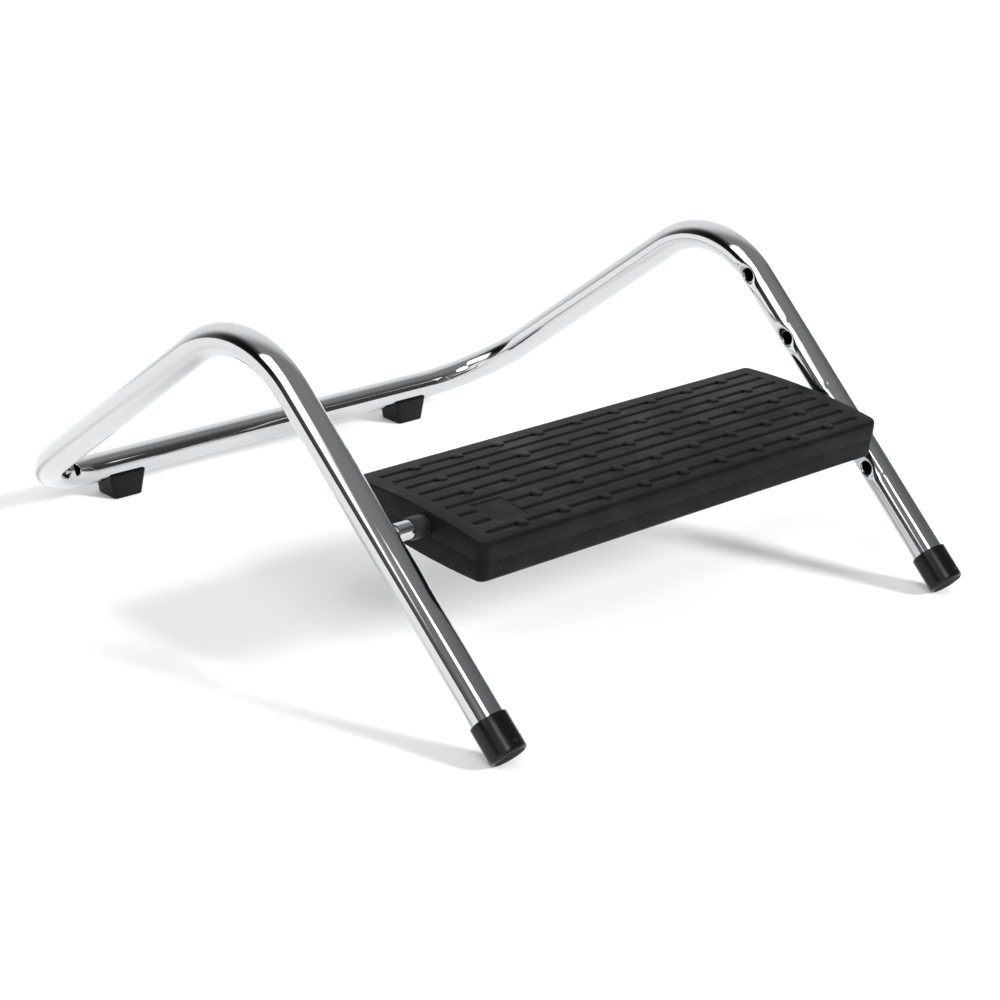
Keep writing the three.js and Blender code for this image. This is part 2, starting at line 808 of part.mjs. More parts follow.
function shellScrew({ x, y }) {
  const headStart = screwSeatHeight(y) - clearance - shellScrewHeadHeight;
  const from = new THREE.Vector3(x, y, headStart);
  return screwSolid(shellScrewHeadRadius, shellScrewHeadHeight, shellScrewRadius, shellScrewLength,
    from, plusZ);
}

// Assembly
const footrest = new THREE.Group();
addPiece(footrest, 'frame_tube', frameTube(), chrome);
for (const [side, word] of [[-1, 'left'], [1, 'right']]) {
  addPiece(footrest, `foot_cap_${word}`, footCap(side), blackRubber);
  addPiece(footrest, `rear_pad_${word}`, rearPad(side), blackRubber);
  addPiece(footrest, `rear_pad_screw_${word}`, padScrew(side), steel);
}

const platform = new THREE.Group();
const axle = legPoint(1, axleDistance);
platform.position.set(0, axle.y, axle.z);
platform.rotation.x = platformTilt;
footrest.add(platform);

addPiece(platform, 'tread_shell', treadShell(), blackPlastic);
addPiece(platform, 'lower_shell', lowerShell(), blackPlastic);
addPiece(platform, 'axle_tube', axleTube(), steel);
addPiece(platform, 'left_plunger', leftPlunger(), chrome);
addPiece(platform, 'plunger_spring', plungerSpring(), steel);
addPiece(platform, 'plunger_stop_pin', crossPin(stopPinX), steel);
addPiece(platform, 'spring_seat_pin', crossPin(seatPinX), steel);
addPiece(platform, 'right_pin', rightPin(), chrome);
addPiece(platform, 'right_pin_key', crossPin(fixedPinX), steel);
addPiece(platform, 'end_bush_left', endBush(platformLeft, minusX, leftCollarLength), blackNylon);
addPiece(platform, 'end_bush_right', endBush(platformRight, plusX, rightCollarLength), blackNylon);
screwPlaces.forEach((place, index) => {
  addPiece(platform, `shell_screw_${index + 1}`, shellScrew(place), steel);
});

// The origin lies on the floor under the middle of the whole object
footrest.updateMatrixWorld(true);
const bounds = new THREE.Box3().setFromObject(footrest);
footrest.position.y = -(bounds.min.y + bounds.max.y) / 2;

export default footrest;
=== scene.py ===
import json
import math

import bmesh
import bpy
from mathutils import Matrix, Vector


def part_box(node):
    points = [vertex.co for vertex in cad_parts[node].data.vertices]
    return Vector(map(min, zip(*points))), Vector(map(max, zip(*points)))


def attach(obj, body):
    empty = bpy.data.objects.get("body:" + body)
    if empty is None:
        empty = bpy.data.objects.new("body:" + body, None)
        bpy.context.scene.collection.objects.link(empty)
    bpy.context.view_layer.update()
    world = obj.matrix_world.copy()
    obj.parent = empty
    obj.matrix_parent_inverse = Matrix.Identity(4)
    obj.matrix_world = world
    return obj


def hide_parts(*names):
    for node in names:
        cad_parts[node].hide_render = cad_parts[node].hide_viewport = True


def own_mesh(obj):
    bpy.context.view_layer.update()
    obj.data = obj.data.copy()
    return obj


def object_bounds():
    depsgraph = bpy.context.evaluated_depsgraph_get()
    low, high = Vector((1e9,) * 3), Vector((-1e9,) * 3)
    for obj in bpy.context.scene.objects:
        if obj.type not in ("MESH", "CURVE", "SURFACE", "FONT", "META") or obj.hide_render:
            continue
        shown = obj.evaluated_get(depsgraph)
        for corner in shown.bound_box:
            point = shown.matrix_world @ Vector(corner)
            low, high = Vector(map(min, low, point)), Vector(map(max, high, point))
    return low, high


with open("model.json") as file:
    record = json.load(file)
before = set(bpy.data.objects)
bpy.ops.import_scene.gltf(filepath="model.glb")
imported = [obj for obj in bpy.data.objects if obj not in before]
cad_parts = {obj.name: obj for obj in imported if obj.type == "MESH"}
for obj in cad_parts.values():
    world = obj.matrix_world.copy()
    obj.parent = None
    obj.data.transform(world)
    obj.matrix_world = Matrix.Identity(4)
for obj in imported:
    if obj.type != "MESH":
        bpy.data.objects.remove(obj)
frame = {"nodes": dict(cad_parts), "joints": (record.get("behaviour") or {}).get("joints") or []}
cad_low, cad_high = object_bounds()
mm = 0.001


# The frame: one length of 22 mm steel tube, bent cold at four corners and plated with bright
# chrome. The punch dishes the wall round the four holes on the inner side of each front leg, and a
# vent for the plating bath is drilled at the left rear bend. Sizes are in millimetres.
tube_radius = 11.0
tube_wall = 1.3
foot_span, apex_span, rear_span = 419.3, 436.0, 452.4
apex_reach, apex_height = 239.5, 222.3
rear_reach, rear_bar_height = 496.3, 24.4
apex_bend_radius, rear_bend_radius = 76.2, 62.2
pad_depth = 22.8
row_middle = rear_reach + pad_depth / 2 - cad_high.y / mm

cap_radius, cap_length, cap_floor = 12.5, 26.0, 3.2
cap_rim, cap_heel_flat = 2.5, 0.5
fit_gap = 0.3

sole_radius = cap_radius - cap_rim
heel_height = cap_rim - cap_heel_flat
heel_to_apex = math.hypot(apex_reach, apex_height - heel_height)
leg_slope = math.atan2(apex_height - heel_height, apex_reach) - math.asin(sole_radius / heel_to_apex)
foot_y = -cap_rim * math.cos(leg_slope) - sole_radius * math.sin(leg_slope)
foot_z = heel_height - cap_rim * math.sin(leg_slope) + sole_radius * math.cos(leg_slope)
tube_cut_back = cap_floor + fit_gap


def frame_corner(side, span, reach, height):
    return Vector((side * span / 2, reach - row_middle, height))


def leg_foot(side):
    return frame_corner(side, foot_span, foot_y, foot_z)


def leg_run(side):
    """Unit vector up a front leg from its foot."""
    return (frame_corner(side, apex_span, apex_reach, apex_height) - leg_foot(side)).normalized()


def along_bend(start, inward, across, bend_radius, angle):
    """A point on a bend that starts along inward and turns towards across."""
    return start + across * bend_radius * (1 - math.cos(angle)) + inward * bend_radius * math.sin(angle)


def tube_runs():
    """The centreline as runs: kind, length, start, direction, and for a bend its side and radius."""
    corners = [
        (frame_corner(-1, apex_span, apex_reach, apex_height), apex_bend_radius),
        (frame_corner(-1, rear_span, rear_reach, rear_bar_height), rear_bend_radius),
        (frame_corner(1, rear_span, rear_reach, rear_bar_height), rear_bend_radius),
        (frame_corner(1, apex_span, apex_reach, apex_height), apex_bend_radius),
    ]
    start = leg_foot(-1) + tube_cut_back * leg_run(-1)
    end = leg_foot(1) + tube_cut_back * leg_run(1)
    following = [corner for corner, _ in corners[1:]] + [end]
    runs = []
    for (corner, bend_radius), after in zip(corners, following):
        inward = (corner - start).normalized()
        outward = (after - corner).normalized()
        turn = inward.angle(outward)
        bend_start = corner - inward * bend_radius * math.tan(turn / 2)
        across = (outward - inward * outward.dot(inward)).normalized()
        runs.append(("straight", (bend_start - start).length, start, inward, None, None))
        runs.append(("bend", bend_radius * turn, bend_start, inward, across, bend_radius))
        start = along_bend(bend_start, inward, across, bend_radius, turn)
    runs.append(("straight", (end - start).length, start, (end - start).normalized(), None, None))
    return runs


runs = tube_runs()
run_starts = [sum(run[1] for run in runs[:index]) for index in range(len(runs))]
tube_length = sum(run[1] for run in runs)


def centreline_at(distance):
    """Point and tangent on the tube's axis, at a distance along it from the left foot."""
    index = max(i for i, start in enumerate(run_starts) if start <= distance + 1e-9)
    kind, _, start, inward, across, bend_radius = runs[index]
    along = distance - run_starts[index]
    if kind == "straight":
        return start + inward * along, inward
    angle = along / bend_radius
    point = along_bend(start, inward, across, bend_radius, angle)
    return point, inward * math.cos(angle) + across * math.sin(angle)


def join_rings(faces, first, second):
    """Adds the faces between two rings of points. A ring may be one point, or share points."""
    count = max(len(first), len(second))
    for n in range(count):
        m = (n + 1) % count
        corners = [ring[k % len(ring)] for ring, k in ((first, n), (first, m), (second, m), (second, n))]
        face = tuple(dict.fromkeys(corners))
        if len(face) > 2:
            faces.append(face)


def pierced_sheet(u_lines, v_lines, holes, closed=False):
    """A sheet of quads over lines in u and v, with round holes that sit in windows of whole cells.

    A hole is a centre, a window of first and last lines, and rings of mix, radius and depth, from
    the window towards the hole. Gives points of u, v and depth, faces, the grid and each last ring."""
    points, faces, grid, last_rings = [], [], {}, []
    v_count = len(v_lines) - 1 if closed else len(v_lines)

    def in_window(i, j, border):
        """Whether a point lies inside a window, or with a border of 1, whether a cell does."""
        return any(
            a - border < i < b and any(c - border < k < d for k in ((j, j - v_count) if closed else (j,)))
            for _, (a, b, c, d), _ in holes
        )

    for i, u in enumerate(u_lines):
        for j in range(v_count):
            if not in_window(i, j, 0):
                grid[i, j] = len(points)
                points.append((u, v_lines[j], 0.0))
    for i in range(len(u_lines) - 1):
        for j in range(v_count if closed else v_count - 1):
            if not in_window(i, j, 1):
                k = (j + 1) % v_count if closed else j + 1
                faces.append((grid[i, j], grid[i + 1, j], grid[i + 1, k], grid[i, k]))
    period = v_lines[-1] - v_lines[0] if closed else 0
    for (u0, v0), (a, b, c, d), rings in holes:
        border = [(i, c) for i in range(a, b)] + [(b, j) for j in range(c, d)]
        border += [(i, d) for i in range(b, a, -1)] + [(a, j) for j in range(d, c, -1)]
        ring = [grid[i, j % v_count if closed else j] for i, j in border]
        flat = []
        for i, j in border:
            laps = j // v_count if closed else 0
            flat.append((u_lines[i] - u0, v_lines[j - laps * v_count] + laps * period - v0))
        for mix, radius, depth in rings:
            new_ring = []
            for du, dv in flat:
                angle = math.atan2(dv, du)
                u = du + (radius * math.cos(angle) - du) * mix
                v = dv + (radius * math.sin(angle) - dv) * mix
                new_ring.append(len(points))
                points.append((u0 + u, v0 + v, depth))
            join_rings(faces, ring, new_ring)
            ring = new_ring
        last_rings.append(ring)
    return points, faces, grid, last_rings


def make_piece(name, points, faces, body, crease=math.radians(38), inside_from=None):
    """A mesh object in metres from points in millimetres, smooth but for edges sharper than the crease.

    Faces from inside_from on take the piece's second material."""
    mesh = bpy.data.meshes.new(name)
    mesh.from_pydata([tuple(mm * value for value in point) for point in points], [], faces)
    tidy = bmesh.new()
    tidy.from_mesh(mesh)
    if inside_from is not None:
        for face in list(tidy.faces)[inside_from:]:
            face.material_index = 1
    bmesh.ops.remove_doubles(tidy, verts=tidy.verts, dist=1e-7)
    bmesh.ops.recalc_face_normals(tidy, faces=tidy.faces)
    tidy.to_mesh(mesh)
    tidy.free()
    mesh.shade_smooth()
    mesh.set_sharp_from_angle(angle=crease)
    piece = bpy.data.objects.new(name, mesh)
    bpy.context.scene.collection.objects.link(piece)
    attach(piece, body)
    return piece


hole_radius, dish_radius, dish_depth = 5.25, 9.0, 1.5
first_hole_distance, hole_pitch, hole_count = 99.7, 56.4, 4
hole_distances = [first_hole_distance + hole_pitch * index for index in range(hole_count)]
hole_window, vent_radius, vent_window = 14.0, 4.8, 9.6
vent_centre = run_starts[3] + math.radians(65) * rear_bend_radius
vent_turn = math.radians(11)
columns, window_cells = 72, 16
column_width = 2 * math.pi * tube_radius / columns
bend_spacing, straight_spacing = 3.2, 12


def punched_centres():
    """Distance along the tube, angle round it, and which punch made it, for every hole."""
    centres = []
    for distance in hole_distances:
        centres.append((distance - tube_cut_back, 0.0, "dish"))
        centres.append((tube_length - distance + tube_cut_back, 0.0, "dish"))
    centres.append((vent_centre, vent_turn, "vent"))
    return sorted(centres)


def tube_lines():
    """Distances of the rings of points: close in bends and round holes, far apart on straight runs."""
    cuts = set()
    windows = []
    for distance, _, punch in punched_centres():
        half = hole_window if punch == "dish" else vent_window
        windows.append((distance - half, distance + half))
        cuts.update(windows[-1])
    for start, run in zip(run_starts, runs):
        cuts.update((start, start + run[1]))
    cuts = sorted(cuts)
    lines = [cuts[0]]
    for low, high in zip(cuts, cuts[1:]):
        if high - low < 1e-6:
            continue
        middle = (low + high) / 2
        kind = runs[max(i for i, start in enumerate(run_starts) if start <= middle)][0]
        if any(a < middle < b for a, b in windows):
            count = window_cells
        elif kind == "bend":
            count = max(2, round((high - low) / bend_spacing))
        else:
            count = max(1, round((high - low) / straight_spacing))
        lines += [low + (high - low) * step / count for step in range(1, count + 1)]
    return lines


lines_along = tube_lines()
lines_round = [index * column_width for index in range(columns + 1)]


def line_near(lines, value):
    return min(range(len(lines)), key=lambda i: abs(lines[i] - value))


def punch_windows(layer):
    """The holes of the tube's outer or inner skin, as pierced_sheet takes them."""
    holes = []
    for distance, angle, punch in punched_centres():
        half = hole_window if punch == "dish" else vent_window
        radius = hole_radius if punch == "dish" else vent_radius
        half_columns = 15 if punch == "dish" else 10
        rim = dish_radius + 0.8 if punch == "dish" else radius + 1.2
        middle = round(angle * tube_radius / column_width)
        window = (line_near(lines_along, distance - half), line_near(lines_along, distance + half),
                  middle - half_columns, middle + half_columns)
        rings = [(0.3, rim, 0.0), (0.6, rim, 0.0), (0.85, rim, 0.0), (1.0, rim, 0.0)]
        steps = 10 if punch == "dish" else 2
        lip = radius + 0.5
        rings += [(1.0, rim + (lip - rim) * step / steps, 0.0) for step in range(1, steps + 1)]
        if layer == "outer":
            rings += [(1.0, radius + 0.28, 0.03), (1.0, radius + 0.1, 0.12), (1.0, radius, 0.32)]
            rings += [(1.0, radius, tube_wall * 0.8)]
        else:
            rings += [(1.0, radius, 0.0)]
        holes.append(((distance, angle * tube_radius), window, rings))
    return holes


def tube_frames():
    """The direction towards the inner side at each ring, carried without twist from the left leg."""
    _, tangent = centreline_at(0)
    inner = Vector((1, 0, 0))
    inner = (inner - tangent * inner.dot(tangent)).normalized()
    frames = {}
    for distance in sorted(set(lines_along)):
        _, new_tangent = centreline_at(distance)
        inner = tangent.rotation_difference(new_tangent) @ inner
        inner = (inner - new_tangent * inner.dot(new_tangent)).normalized()
        tangent = new_tangent
        frames[distance] = inner
    return frames


frames_along = tube_frames()
frame_distances = sorted(frames_along)


def across_at(distance):
    """The direction towards the inner side at any distance, from the nearest ring before it."""
    before = max((d for d in frame_distances if d <= distance + 1e-9), default=frame_distances[0])
    _, tangent_before = centreline_at(before)
    point, tangent = centreline_at(min(max(distance, 0), tube_length))
    inner = tangent_before.rotation_difference(tangent) @ frames_along[before]
    return point, tangent, inner


dish_centres = [distance for distance, _, punch in punched_centres() if punch == "dish"]
press_limit, press_softness, press_fade = math.radians(76), 0.9, 3.0


def press_depth(distance, angle):
    """How far the punch has pressed the wall in, at a place on the tube."""
    along = distance - min(dish_centres, key=lambda d: abs(d - distance))
    if abs(along) > hole_window or abs(angle) > press_limit:
        return 0.0
    sideways = tube_radius * math.sin(angle)
    reach = math.hypot(along, sideways)
    hollow = tube_radius * (1 - math.cos(angle))
    cone = dish_depth * (dish_radius - reach) / (dish_radius - hole_radius)
    pressed = (cone - hollow + math.hypot(cone - hollow, press_softness)) / 2
    fade = min(1.0, max(0.0, (hole_window - math.hypot(along, angle * tube_radius)) / press_fade))
    return max(0.0, pressed * fade * fade * (3 - 2 * fade))


def on_tube(distance, arc, depth, skin_radius):
    """A place on a skin of the tube, from its distance along, its arc round and its depth in a hole."""
    angle = arc / tube_radius
    angle = (angle + math.pi) % (2 * math.pi) - math.pi
    point, tangent, inner = across_at(distance)
    binormal = tangent.cross(inner)
    outward = inner * math.cos(angle) + binormal * math.sin(angle)
    sunk = press_depth(distance, angle)
    towards = outward if abs(distance - vent_centre) < vent_window else inner
    return point + outward * skin_radius - inner * sunk - towards * depth


def frame_tube_mesh():
    points, skins = [], []
    for layer, skin_radius in (("outer", tube_radius), ("inner", tube_radius - tube_wall)):
        windows = punch_windows(layer)
        sheet, sheet_faces, grid, last = pierced_sheet(lines_along, lines_round, windows, closed=True)
        offset = len(points)
        points += [on_tube(u, v, depth, skin_radius) for u, v, depth in sheet]
        skin_faces = [tuple(offset + i for i in face) for face in sheet_faces]
        ends = [[offset + grid[row, j] for j in range(columns)] for row in (0, len(lines_along) - 1)]
        skins.append((skin_faces, [[offset + i for i in ring] for ring in last], ends))
    (outer_faces, outer_rings, outer_ends), (inner_faces, inner_rings, inner_ends) = skins
    plated = list(outer_faces)
    for outer, inner in list(zip(outer_rings, inner_rings)) + list(zip(outer_ends, inner_ends)):
        join_rings(plated, outer, inner)
    return points, plated + [face[::-1] for face in inner_faces], len(plated)


points, faces, bore_from = frame_tube_mesh()
frame_tube = make_piece("chromed_tube", points, faces, "frame", inside_from=bore_from)
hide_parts("frame_tube")


def node_group(name, inputs, outputs):
    """An empty group of shader nodes with named number or colour sockets, and its two end nodes."""
    group = bpy.data.node_groups.new(name, "ShaderNodeTree")
    kinds = {"value": "NodeSocketFloat", "colour": "NodeSocketColor", "vector": "NodeSocketVector"}
    for socket_name, kind, default in inputs:
        socket = group.interface.new_socket(socket_name, in_out="INPUT", socket_type=kinds[kind])
        if default is not None:
            socket.default_value = default
    for socket_name, kind in outputs:
        group.interface.new_socket(socket_name, in_out="OUTPUT", socket_type=kinds[kind])
    return group, group.nodes.new("NodeGroupInput"), group.nodes.new("NodeGroupOutput")


def link(tree, source, target):
    tree.links.new(source, target)


def noise_in(tree, vector, scale, detail, roughness=0.5):
    noise = tree.nodes.new("ShaderNodeTexNoise")
    noise.inputs["Detail"].default_value = detail
    noise.inputs["Roughness"].default_value = roughness
    if isinstance(scale, (int, float)):
        noise.inputs["Scale"].default_value = scale
    else:
        link(tree, scale, noise.inputs["Scale"])
    link(tree, vector, noise.inputs["Vector"])
    return noise.outputs["Fac"]


def spread(tree, value, low, high, out_low, out_high):
    """Stretches a value between two limits; limits may be numbers or sockets."""
    node = tree.nodes.new("ShaderNodeMapRange")
    node.interpolation_type = "SMOOTHSTEP"
    link(tree, value, node.inputs["Value"])
    for name, limit in (("From Min", low), ("From Max", high), ("To Min", out_low), ("To Max", out_high)):
        if isinstance(limit, (int, float)):
            node.inputs[name].default_value = limit
        else:
            link(tree, limit, node.inputs[name])
    return node.outputs["Result"]


def math_in(tree, operation, first, second):
    node = tree.nodes.new("ShaderNodeMath")
    node.operation = operation
    for socket, value in zip(node.inputs, (first, second)):
        if isinstance(value, (int, float)):
            socket.default_value = value
        else:
            link(tree, value, socket)
    return node.outputs["Value"]


def handling_marks():
    """Faint smears from hands and cloths, and fine hair scratches, for metal that is wiped and handled."""
    group, start, end = node_group(
        "handling marks",
        [("Place", "vector", None), ("Smear size", "value", 14.0), ("Scratch size", "value", 260.0),
         ("Clean roughness", "value", 0.05), ("Smeared roughness", "value", 0.12)],
        [("Roughness", "value"), ("Height", "value")],
    )
    place = start.outputs["Place"]
    smears = noise_in(group, place, start.outputs["Smear size"], 5.0, 0.6)
    smeared = spread(group, smears, 0.5, 0.72, 0.0, 1.0)
    stretch = group.nodes.new("ShaderNodeVectorMath")
    stretch.operation = "MULTIPLY"
    stretch.inputs[1].default_value = (1.0, 9.0, 1.0)
    link(group, place, stretch.inputs[0])
    hairs = noise_in(group, stretch.outputs["Vector"], start.outputs["Scratch size"], 2.0, 0.4)
    clean, dirty = start.outputs["Clean roughness"], start.outputs["Smeared roughness"]
    link(group, spread(group, smeared, 0.0, 1.0, clean, dirty), end.inputs["Roughness"])
    link(group, hairs, end.inputs["Height"])
    return group


handling_marks_group = handling_marks()


def new_material(name, base_color, metallic, roughness, coat=0.0, specular=0.5):
    material = bpy.data.materials.new(name)
    material.use_nodes = True
    shader = material.node_tree.nodes["Principled BSDF"]
    shader.inputs["Base Color"].default_value = (*base_color, 1.0)
    shader.inputs["Metallic"].default_value = metallic
    shader.inputs["Roughness"].default_value = roughness
    shader.inputs["Coat Weight"].default_value = coat
    shader.inputs["Specular IOR Level"].default_value = specular
    return material, material.node_tree, shader


def bump_from(tree, height, strength, distance, shader):
    bump = tree.nodes.new("ShaderNodeBump")
    bump.inputs["Strength"].default_value = strength
    bump.inputs["Distance"].default_value = distance
    link(tree, height, bump.inputs["Height"])
    link(tree, bump.outputs["Normal"], shader.inputs["Normal"])


def use_material(piece, material):
    if piece.material_slots:
        for slot in piece.material_slots:
            slot.material = material
    else:
        piece.data.materials.append(material)


def metal(name, base_color, clean, smeared, bump):
    material, tree, shader = new_material(name, base_color, 1.0, clean)
    place = tree.nodes.new("ShaderNodeTexCoord").outputs["Object"]
    marks = tree.nodes.new("ShaderNodeGroup")
    marks.node_tree = handling_marks_group
    marks.inputs["Clean roughness"].default_value = clean
    marks.inputs["Smeared roughness"].default_value = smeared
    link(tree, place, marks.inputs["Place"])
    link(tree, marks.outputs["Roughness"], shader.inputs["Roughness"])
    bump_from(tree, marks.outputs["Height"], bump, 0.00002, shader)
    return material


chrome = metal("bright chrome", (0.55, 0.56, 0.57), clean=0.035, smeared=0.08, bump=0.05)
bare_bore = metal("bare steel bore", (0.04, 0.038, 0.036), clean=0.5, smeared=0.7, bump=0.3)
frame_tube.data.materials.append(chrome)
frame_tube.data.materials.append(bare_bore)


# Foot caps: blind cups of glossy black rubber, pushed over the ends of the front legs. Each stands
# on the edge of its heel, pressed flat by the weight, and has a scuffed sole and a moulding pip.
round_steps = 96


def turned(profile, start, axis, first, sides=round_steps):
    """Points and faces of a form turned round an axis from pairs of radius and height."""
    second = axis.cross(first)
    points, faces, rings = [], [], []
    for radius, height in profile:
        if radius < 1e-9:
            rings.append([len(points)])
            points.append(start + axis * height)
        else:
            rings.append(list(range(len(points), len(points) + sides)))
            for step in range(sides):
                angle = 2 * math.pi * step / sides
                outward = first * math.cos(angle) + second * math.sin(angle)
                points.append(start + axis * height + outward * radius)
    for lower, upper in zip(rings, rings[1:]):
        join_rings(faces, lower, upper)
    return points, faces


def add_form(points, faces, form):
    """Adds a second form's points and faces to a piece's."""
    offset = len(points)
    points += form[0]
    faces += [tuple(offset + i for i in face) for face in form[1]]


def quarter_round(centre_radius, centre_height, radius, from_angle, steps=8):
    angles = [from_angle + math.pi / 2 * step / steps for step in range(steps + 1)]
    return [(centre_radius + radius * math.cos(a), centre_height + radius * math.sin(a)) for a in angles]


lip_round, mouth_bevel = 1, 0.3
pip_radius, pip_height, pip_distance, pip_root = 1.5, 1.0, 5.6, 0.5


def foot_cap(side, word):
    mouth = tube_radius + fit_gap
    profile = [(0, 0)]
    profile += quarter_round(sole_radius, cap_rim, cap_rim, -math.pi / 2)
    profile += [(cap_radius, cap_length * share) for share in (0.25, 0.5, 0.75)]
    profile += quarter_round(cap_radius - lip_round, cap_length - lip_round, lip_round, 0)
    profile += [(mouth + mouth_bevel, cap_length), (mouth, cap_length - mouth_bevel)]
    profile += [(mouth, cap_floor), (0, cap_floor)]
    axis = leg_run(side)
    across = Vector((0, axis.z, -axis.y))
    across = (across - axis * across.dot(axis)).normalized()
    points, faces = turned(profile, leg_foot(side), axis, across)
    points = [Vector((p.x, p.y, max(p.z, 0.0))) for p in points]
    bends = [math.pi / 2 * step / 6 for step in range(6)]
    pip_profile = [(0, -pip_root), (pip_radius, -pip_root)]
    pip_profile += [(pip_radius * math.cos(bend), pip_height * math.sin(bend)) for bend in bends]
    pip_profile += [(0, pip_height)]
    pip_start = leg_foot(side) + axis * pip_distance - across * cap_radius
    add_form(points, faces, turned(pip_profile, pip_start, -across, axis, 24))
    cap = make_piece(f"rubber_cap_{word}", points, faces, "frame")
    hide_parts(f"foot_cap_{word}")
    for face in cap.data.polygons:
        if face.normal.dot(axis) < -0.97:
            face.material_index = 1
    return cap


foot_caps = [foot_cap(-1, "left"), foot_cap(1, "right")]


def moulded_grain():
    """The fine pitted skin of a moulding, with patches rubbed smoother and a trace of dust."""
    group, start, end = node_group(
        "moulded grain",
        [("Place", "vector", None), ("Colour", "colour", (0.02, 0.02, 0.02, 1)),
         ("Dust colour", "colour", (0.1, 0.1, 0.1, 1)), ("Dust share", "value", 0.1),
         ("Grain size", "value", 2200.0), ("Dull roughness", "value", 0.6),
         ("Rubbed roughness", "value", 0.45)],
        [("Colour", "colour"), ("Roughness", "value"), ("Height", "value")],
    )
    place = start.outputs["Place"]
    fine = noise_in(group, place, start.outputs["Grain size"], 3.0, 0.65)
    pits = spread(group, fine, 0.35, 0.65, 0.0, 1.0)
    patches = noise_in(group, place, 22.0, 4.0, 0.6)
    rubbed = spread(group, patches, 0.42, 0.66, 0.0, 1.0)
    dull, worn = start.outputs["Dull roughness"], start.outputs["Rubbed roughness"]
    roughness = spread(group, rubbed, 0.0, 1.0, dull, worn)
    drift = spread(group, noise_in(group, place, 60.0, 6.0, 0.7), 0.4, 0.75, 0.0, 1.0)
    settled = math_in(group, "MULTIPLY", drift, start.outputs["Dust share"])
    mix = group.nodes.new("ShaderNodeMix")
    mix.data_type = "RGBA"
    link(group, settled, mix.inputs["Factor"])
    link(group, start.outputs["Colour"], mix.inputs["A"])
    link(group, start.outputs["Dust colour"], mix.inputs["B"])
    link(group, mix.outputs["Result"], end.inputs["Colour"])
    link(group, roughness, end.inputs["Roughness"])
    link(group, pits, end.inputs["Height"])
    return group


moulded_grain_group = moulded_grain()


def moulding(name, colour, dust, dust_share, grain, dull, rubbed, bump, specular=0.5):
    material, tree, shader = new_material(name, colour, 0.0, dull, specular=specular)
    place = tree.nodes.new("ShaderNodeTexCoord").outputs["Object"]
    skin = tree.nodes.new("ShaderNodeGroup")
    skin.node_tree = moulded_grain_group
    skin.inputs["Colour"].default_value = (*colour, 1.0)
    skin.inputs["Dust colour"].default_value = (*dust, 1.0)
    skin.inputs["Dust share"].default_value = dust_share
    skin.inputs["Grain size"].default_value = grain
    skin.inputs["Dull roughness"].default_value = dull
    skin.inputs["Rubbed roughness"].default_value = rubbed
    link(tree, place, skin.inputs["Place"])
    link(tree, skin.outputs["Colour"], shader.inputs["Base Color"])
    link(tree, skin.outputs["Roughness"], shader.inputs["Roughness"])
    bump_from(tree, skin.outputs["Height"], bump, 0.0001, shader)
    return material


rubber_black, rubber_dust = (0.003, 0.003, 0.003), (0.015, 0.015, 0.015)
cap_rubber = moulding("glossy cap rubber", rubber_black, rubber_dust, dust_share=0.1, grain=1500.0,
                      dull=0.26, rubbed=0.2, bump=0.1, specular=0.23)
scuffed_rubber = moulding("scuffed sole rubber", (0.006, 0.006, 0.006), (0.03, 0.03, 0.03),
                          dust_share=0.3, grain=1100.0, dull=0.75, rubbed=0.6, bump=0.4, specular=0.08)
for cap in foot_caps:
    use_material(cap, cap_rubber)
    cap.data.materials.append(scuffed_rubber)


# Rear pads: tapered blocks of the same rubber. Each has a saddle for the bar and is held up
# against it by a screw from below.
rubber = moulding("black rubber", rubber_black, rubber_dust, dust_share=0.1, grain=1500.0,
                  dull=0.27, rubbed=0.22, bump=0.1, specular=0.15)
pad_offset, pad_foot_length, pad_top_length, pad_height = 138.8, 24.7, 32.0, 19.0
pad_corner, pad_edge, pad_screw_recess, pad_recess_depth = 3.0, 0.9, 3.9, 6
pad_seat_gap, cutter_overrun = 0.05, 2


def pad_loop(height, inset):
    """A rounded rectangle round the pad at one height, drawn in by an inset."""
    share = height / pad_height
    half_length = (pad_foot_length + (pad_top_length - pad_foot_length) * share) / 2 - inset
    half_depth = pad_depth / 2 - inset
    corner = pad_corner - inset * 0.6
    loop = []
    for quarter, (sign_x, sign_y) in enumerate(((1, 1), (-1, 1), (-1, -1), (1, -1))):
        for step in range(9):
            angle = math.pi / 2 * (quarter + step / 8)
            loop.append(Vector((sign_x * (half_length - corner) + corner * math.cos(angle),
                                sign_y * (half_depth - corner) + corner * math.sin(angle), height)))
    return loop


def pad_block(centre):
    bends = [math.pi / 2 * step / 5 for step in range(6)]
    levels = [(pad_edge * (1 - math.sin(a)), pad_edge * (1 - math.cos(a))) for a in reversed(bends)]
    levels += [(pad_height * share, 0.0) for share in (0.35, 0.65)]
    levels += [(pad_height - pad_edge * (1 - math.sin(a)), pad_edge * (1 - math.cos(a))) for a in bends]
    points, faces, loops = [], [], []
    for height, inset in levels:
        loop = pad_loop(height, inset)
        loops.append(list(range(len(points), len(points) + len(loop))))
        points += [centre + point for point in loop]
    for lower, upper in zip(loops, loops[1:]):
        join_rings(faces, lower, upper)
    faces.append(tuple(reversed(loops[0])))
    faces.append(tuple(loops[-1]))
    return points, faces


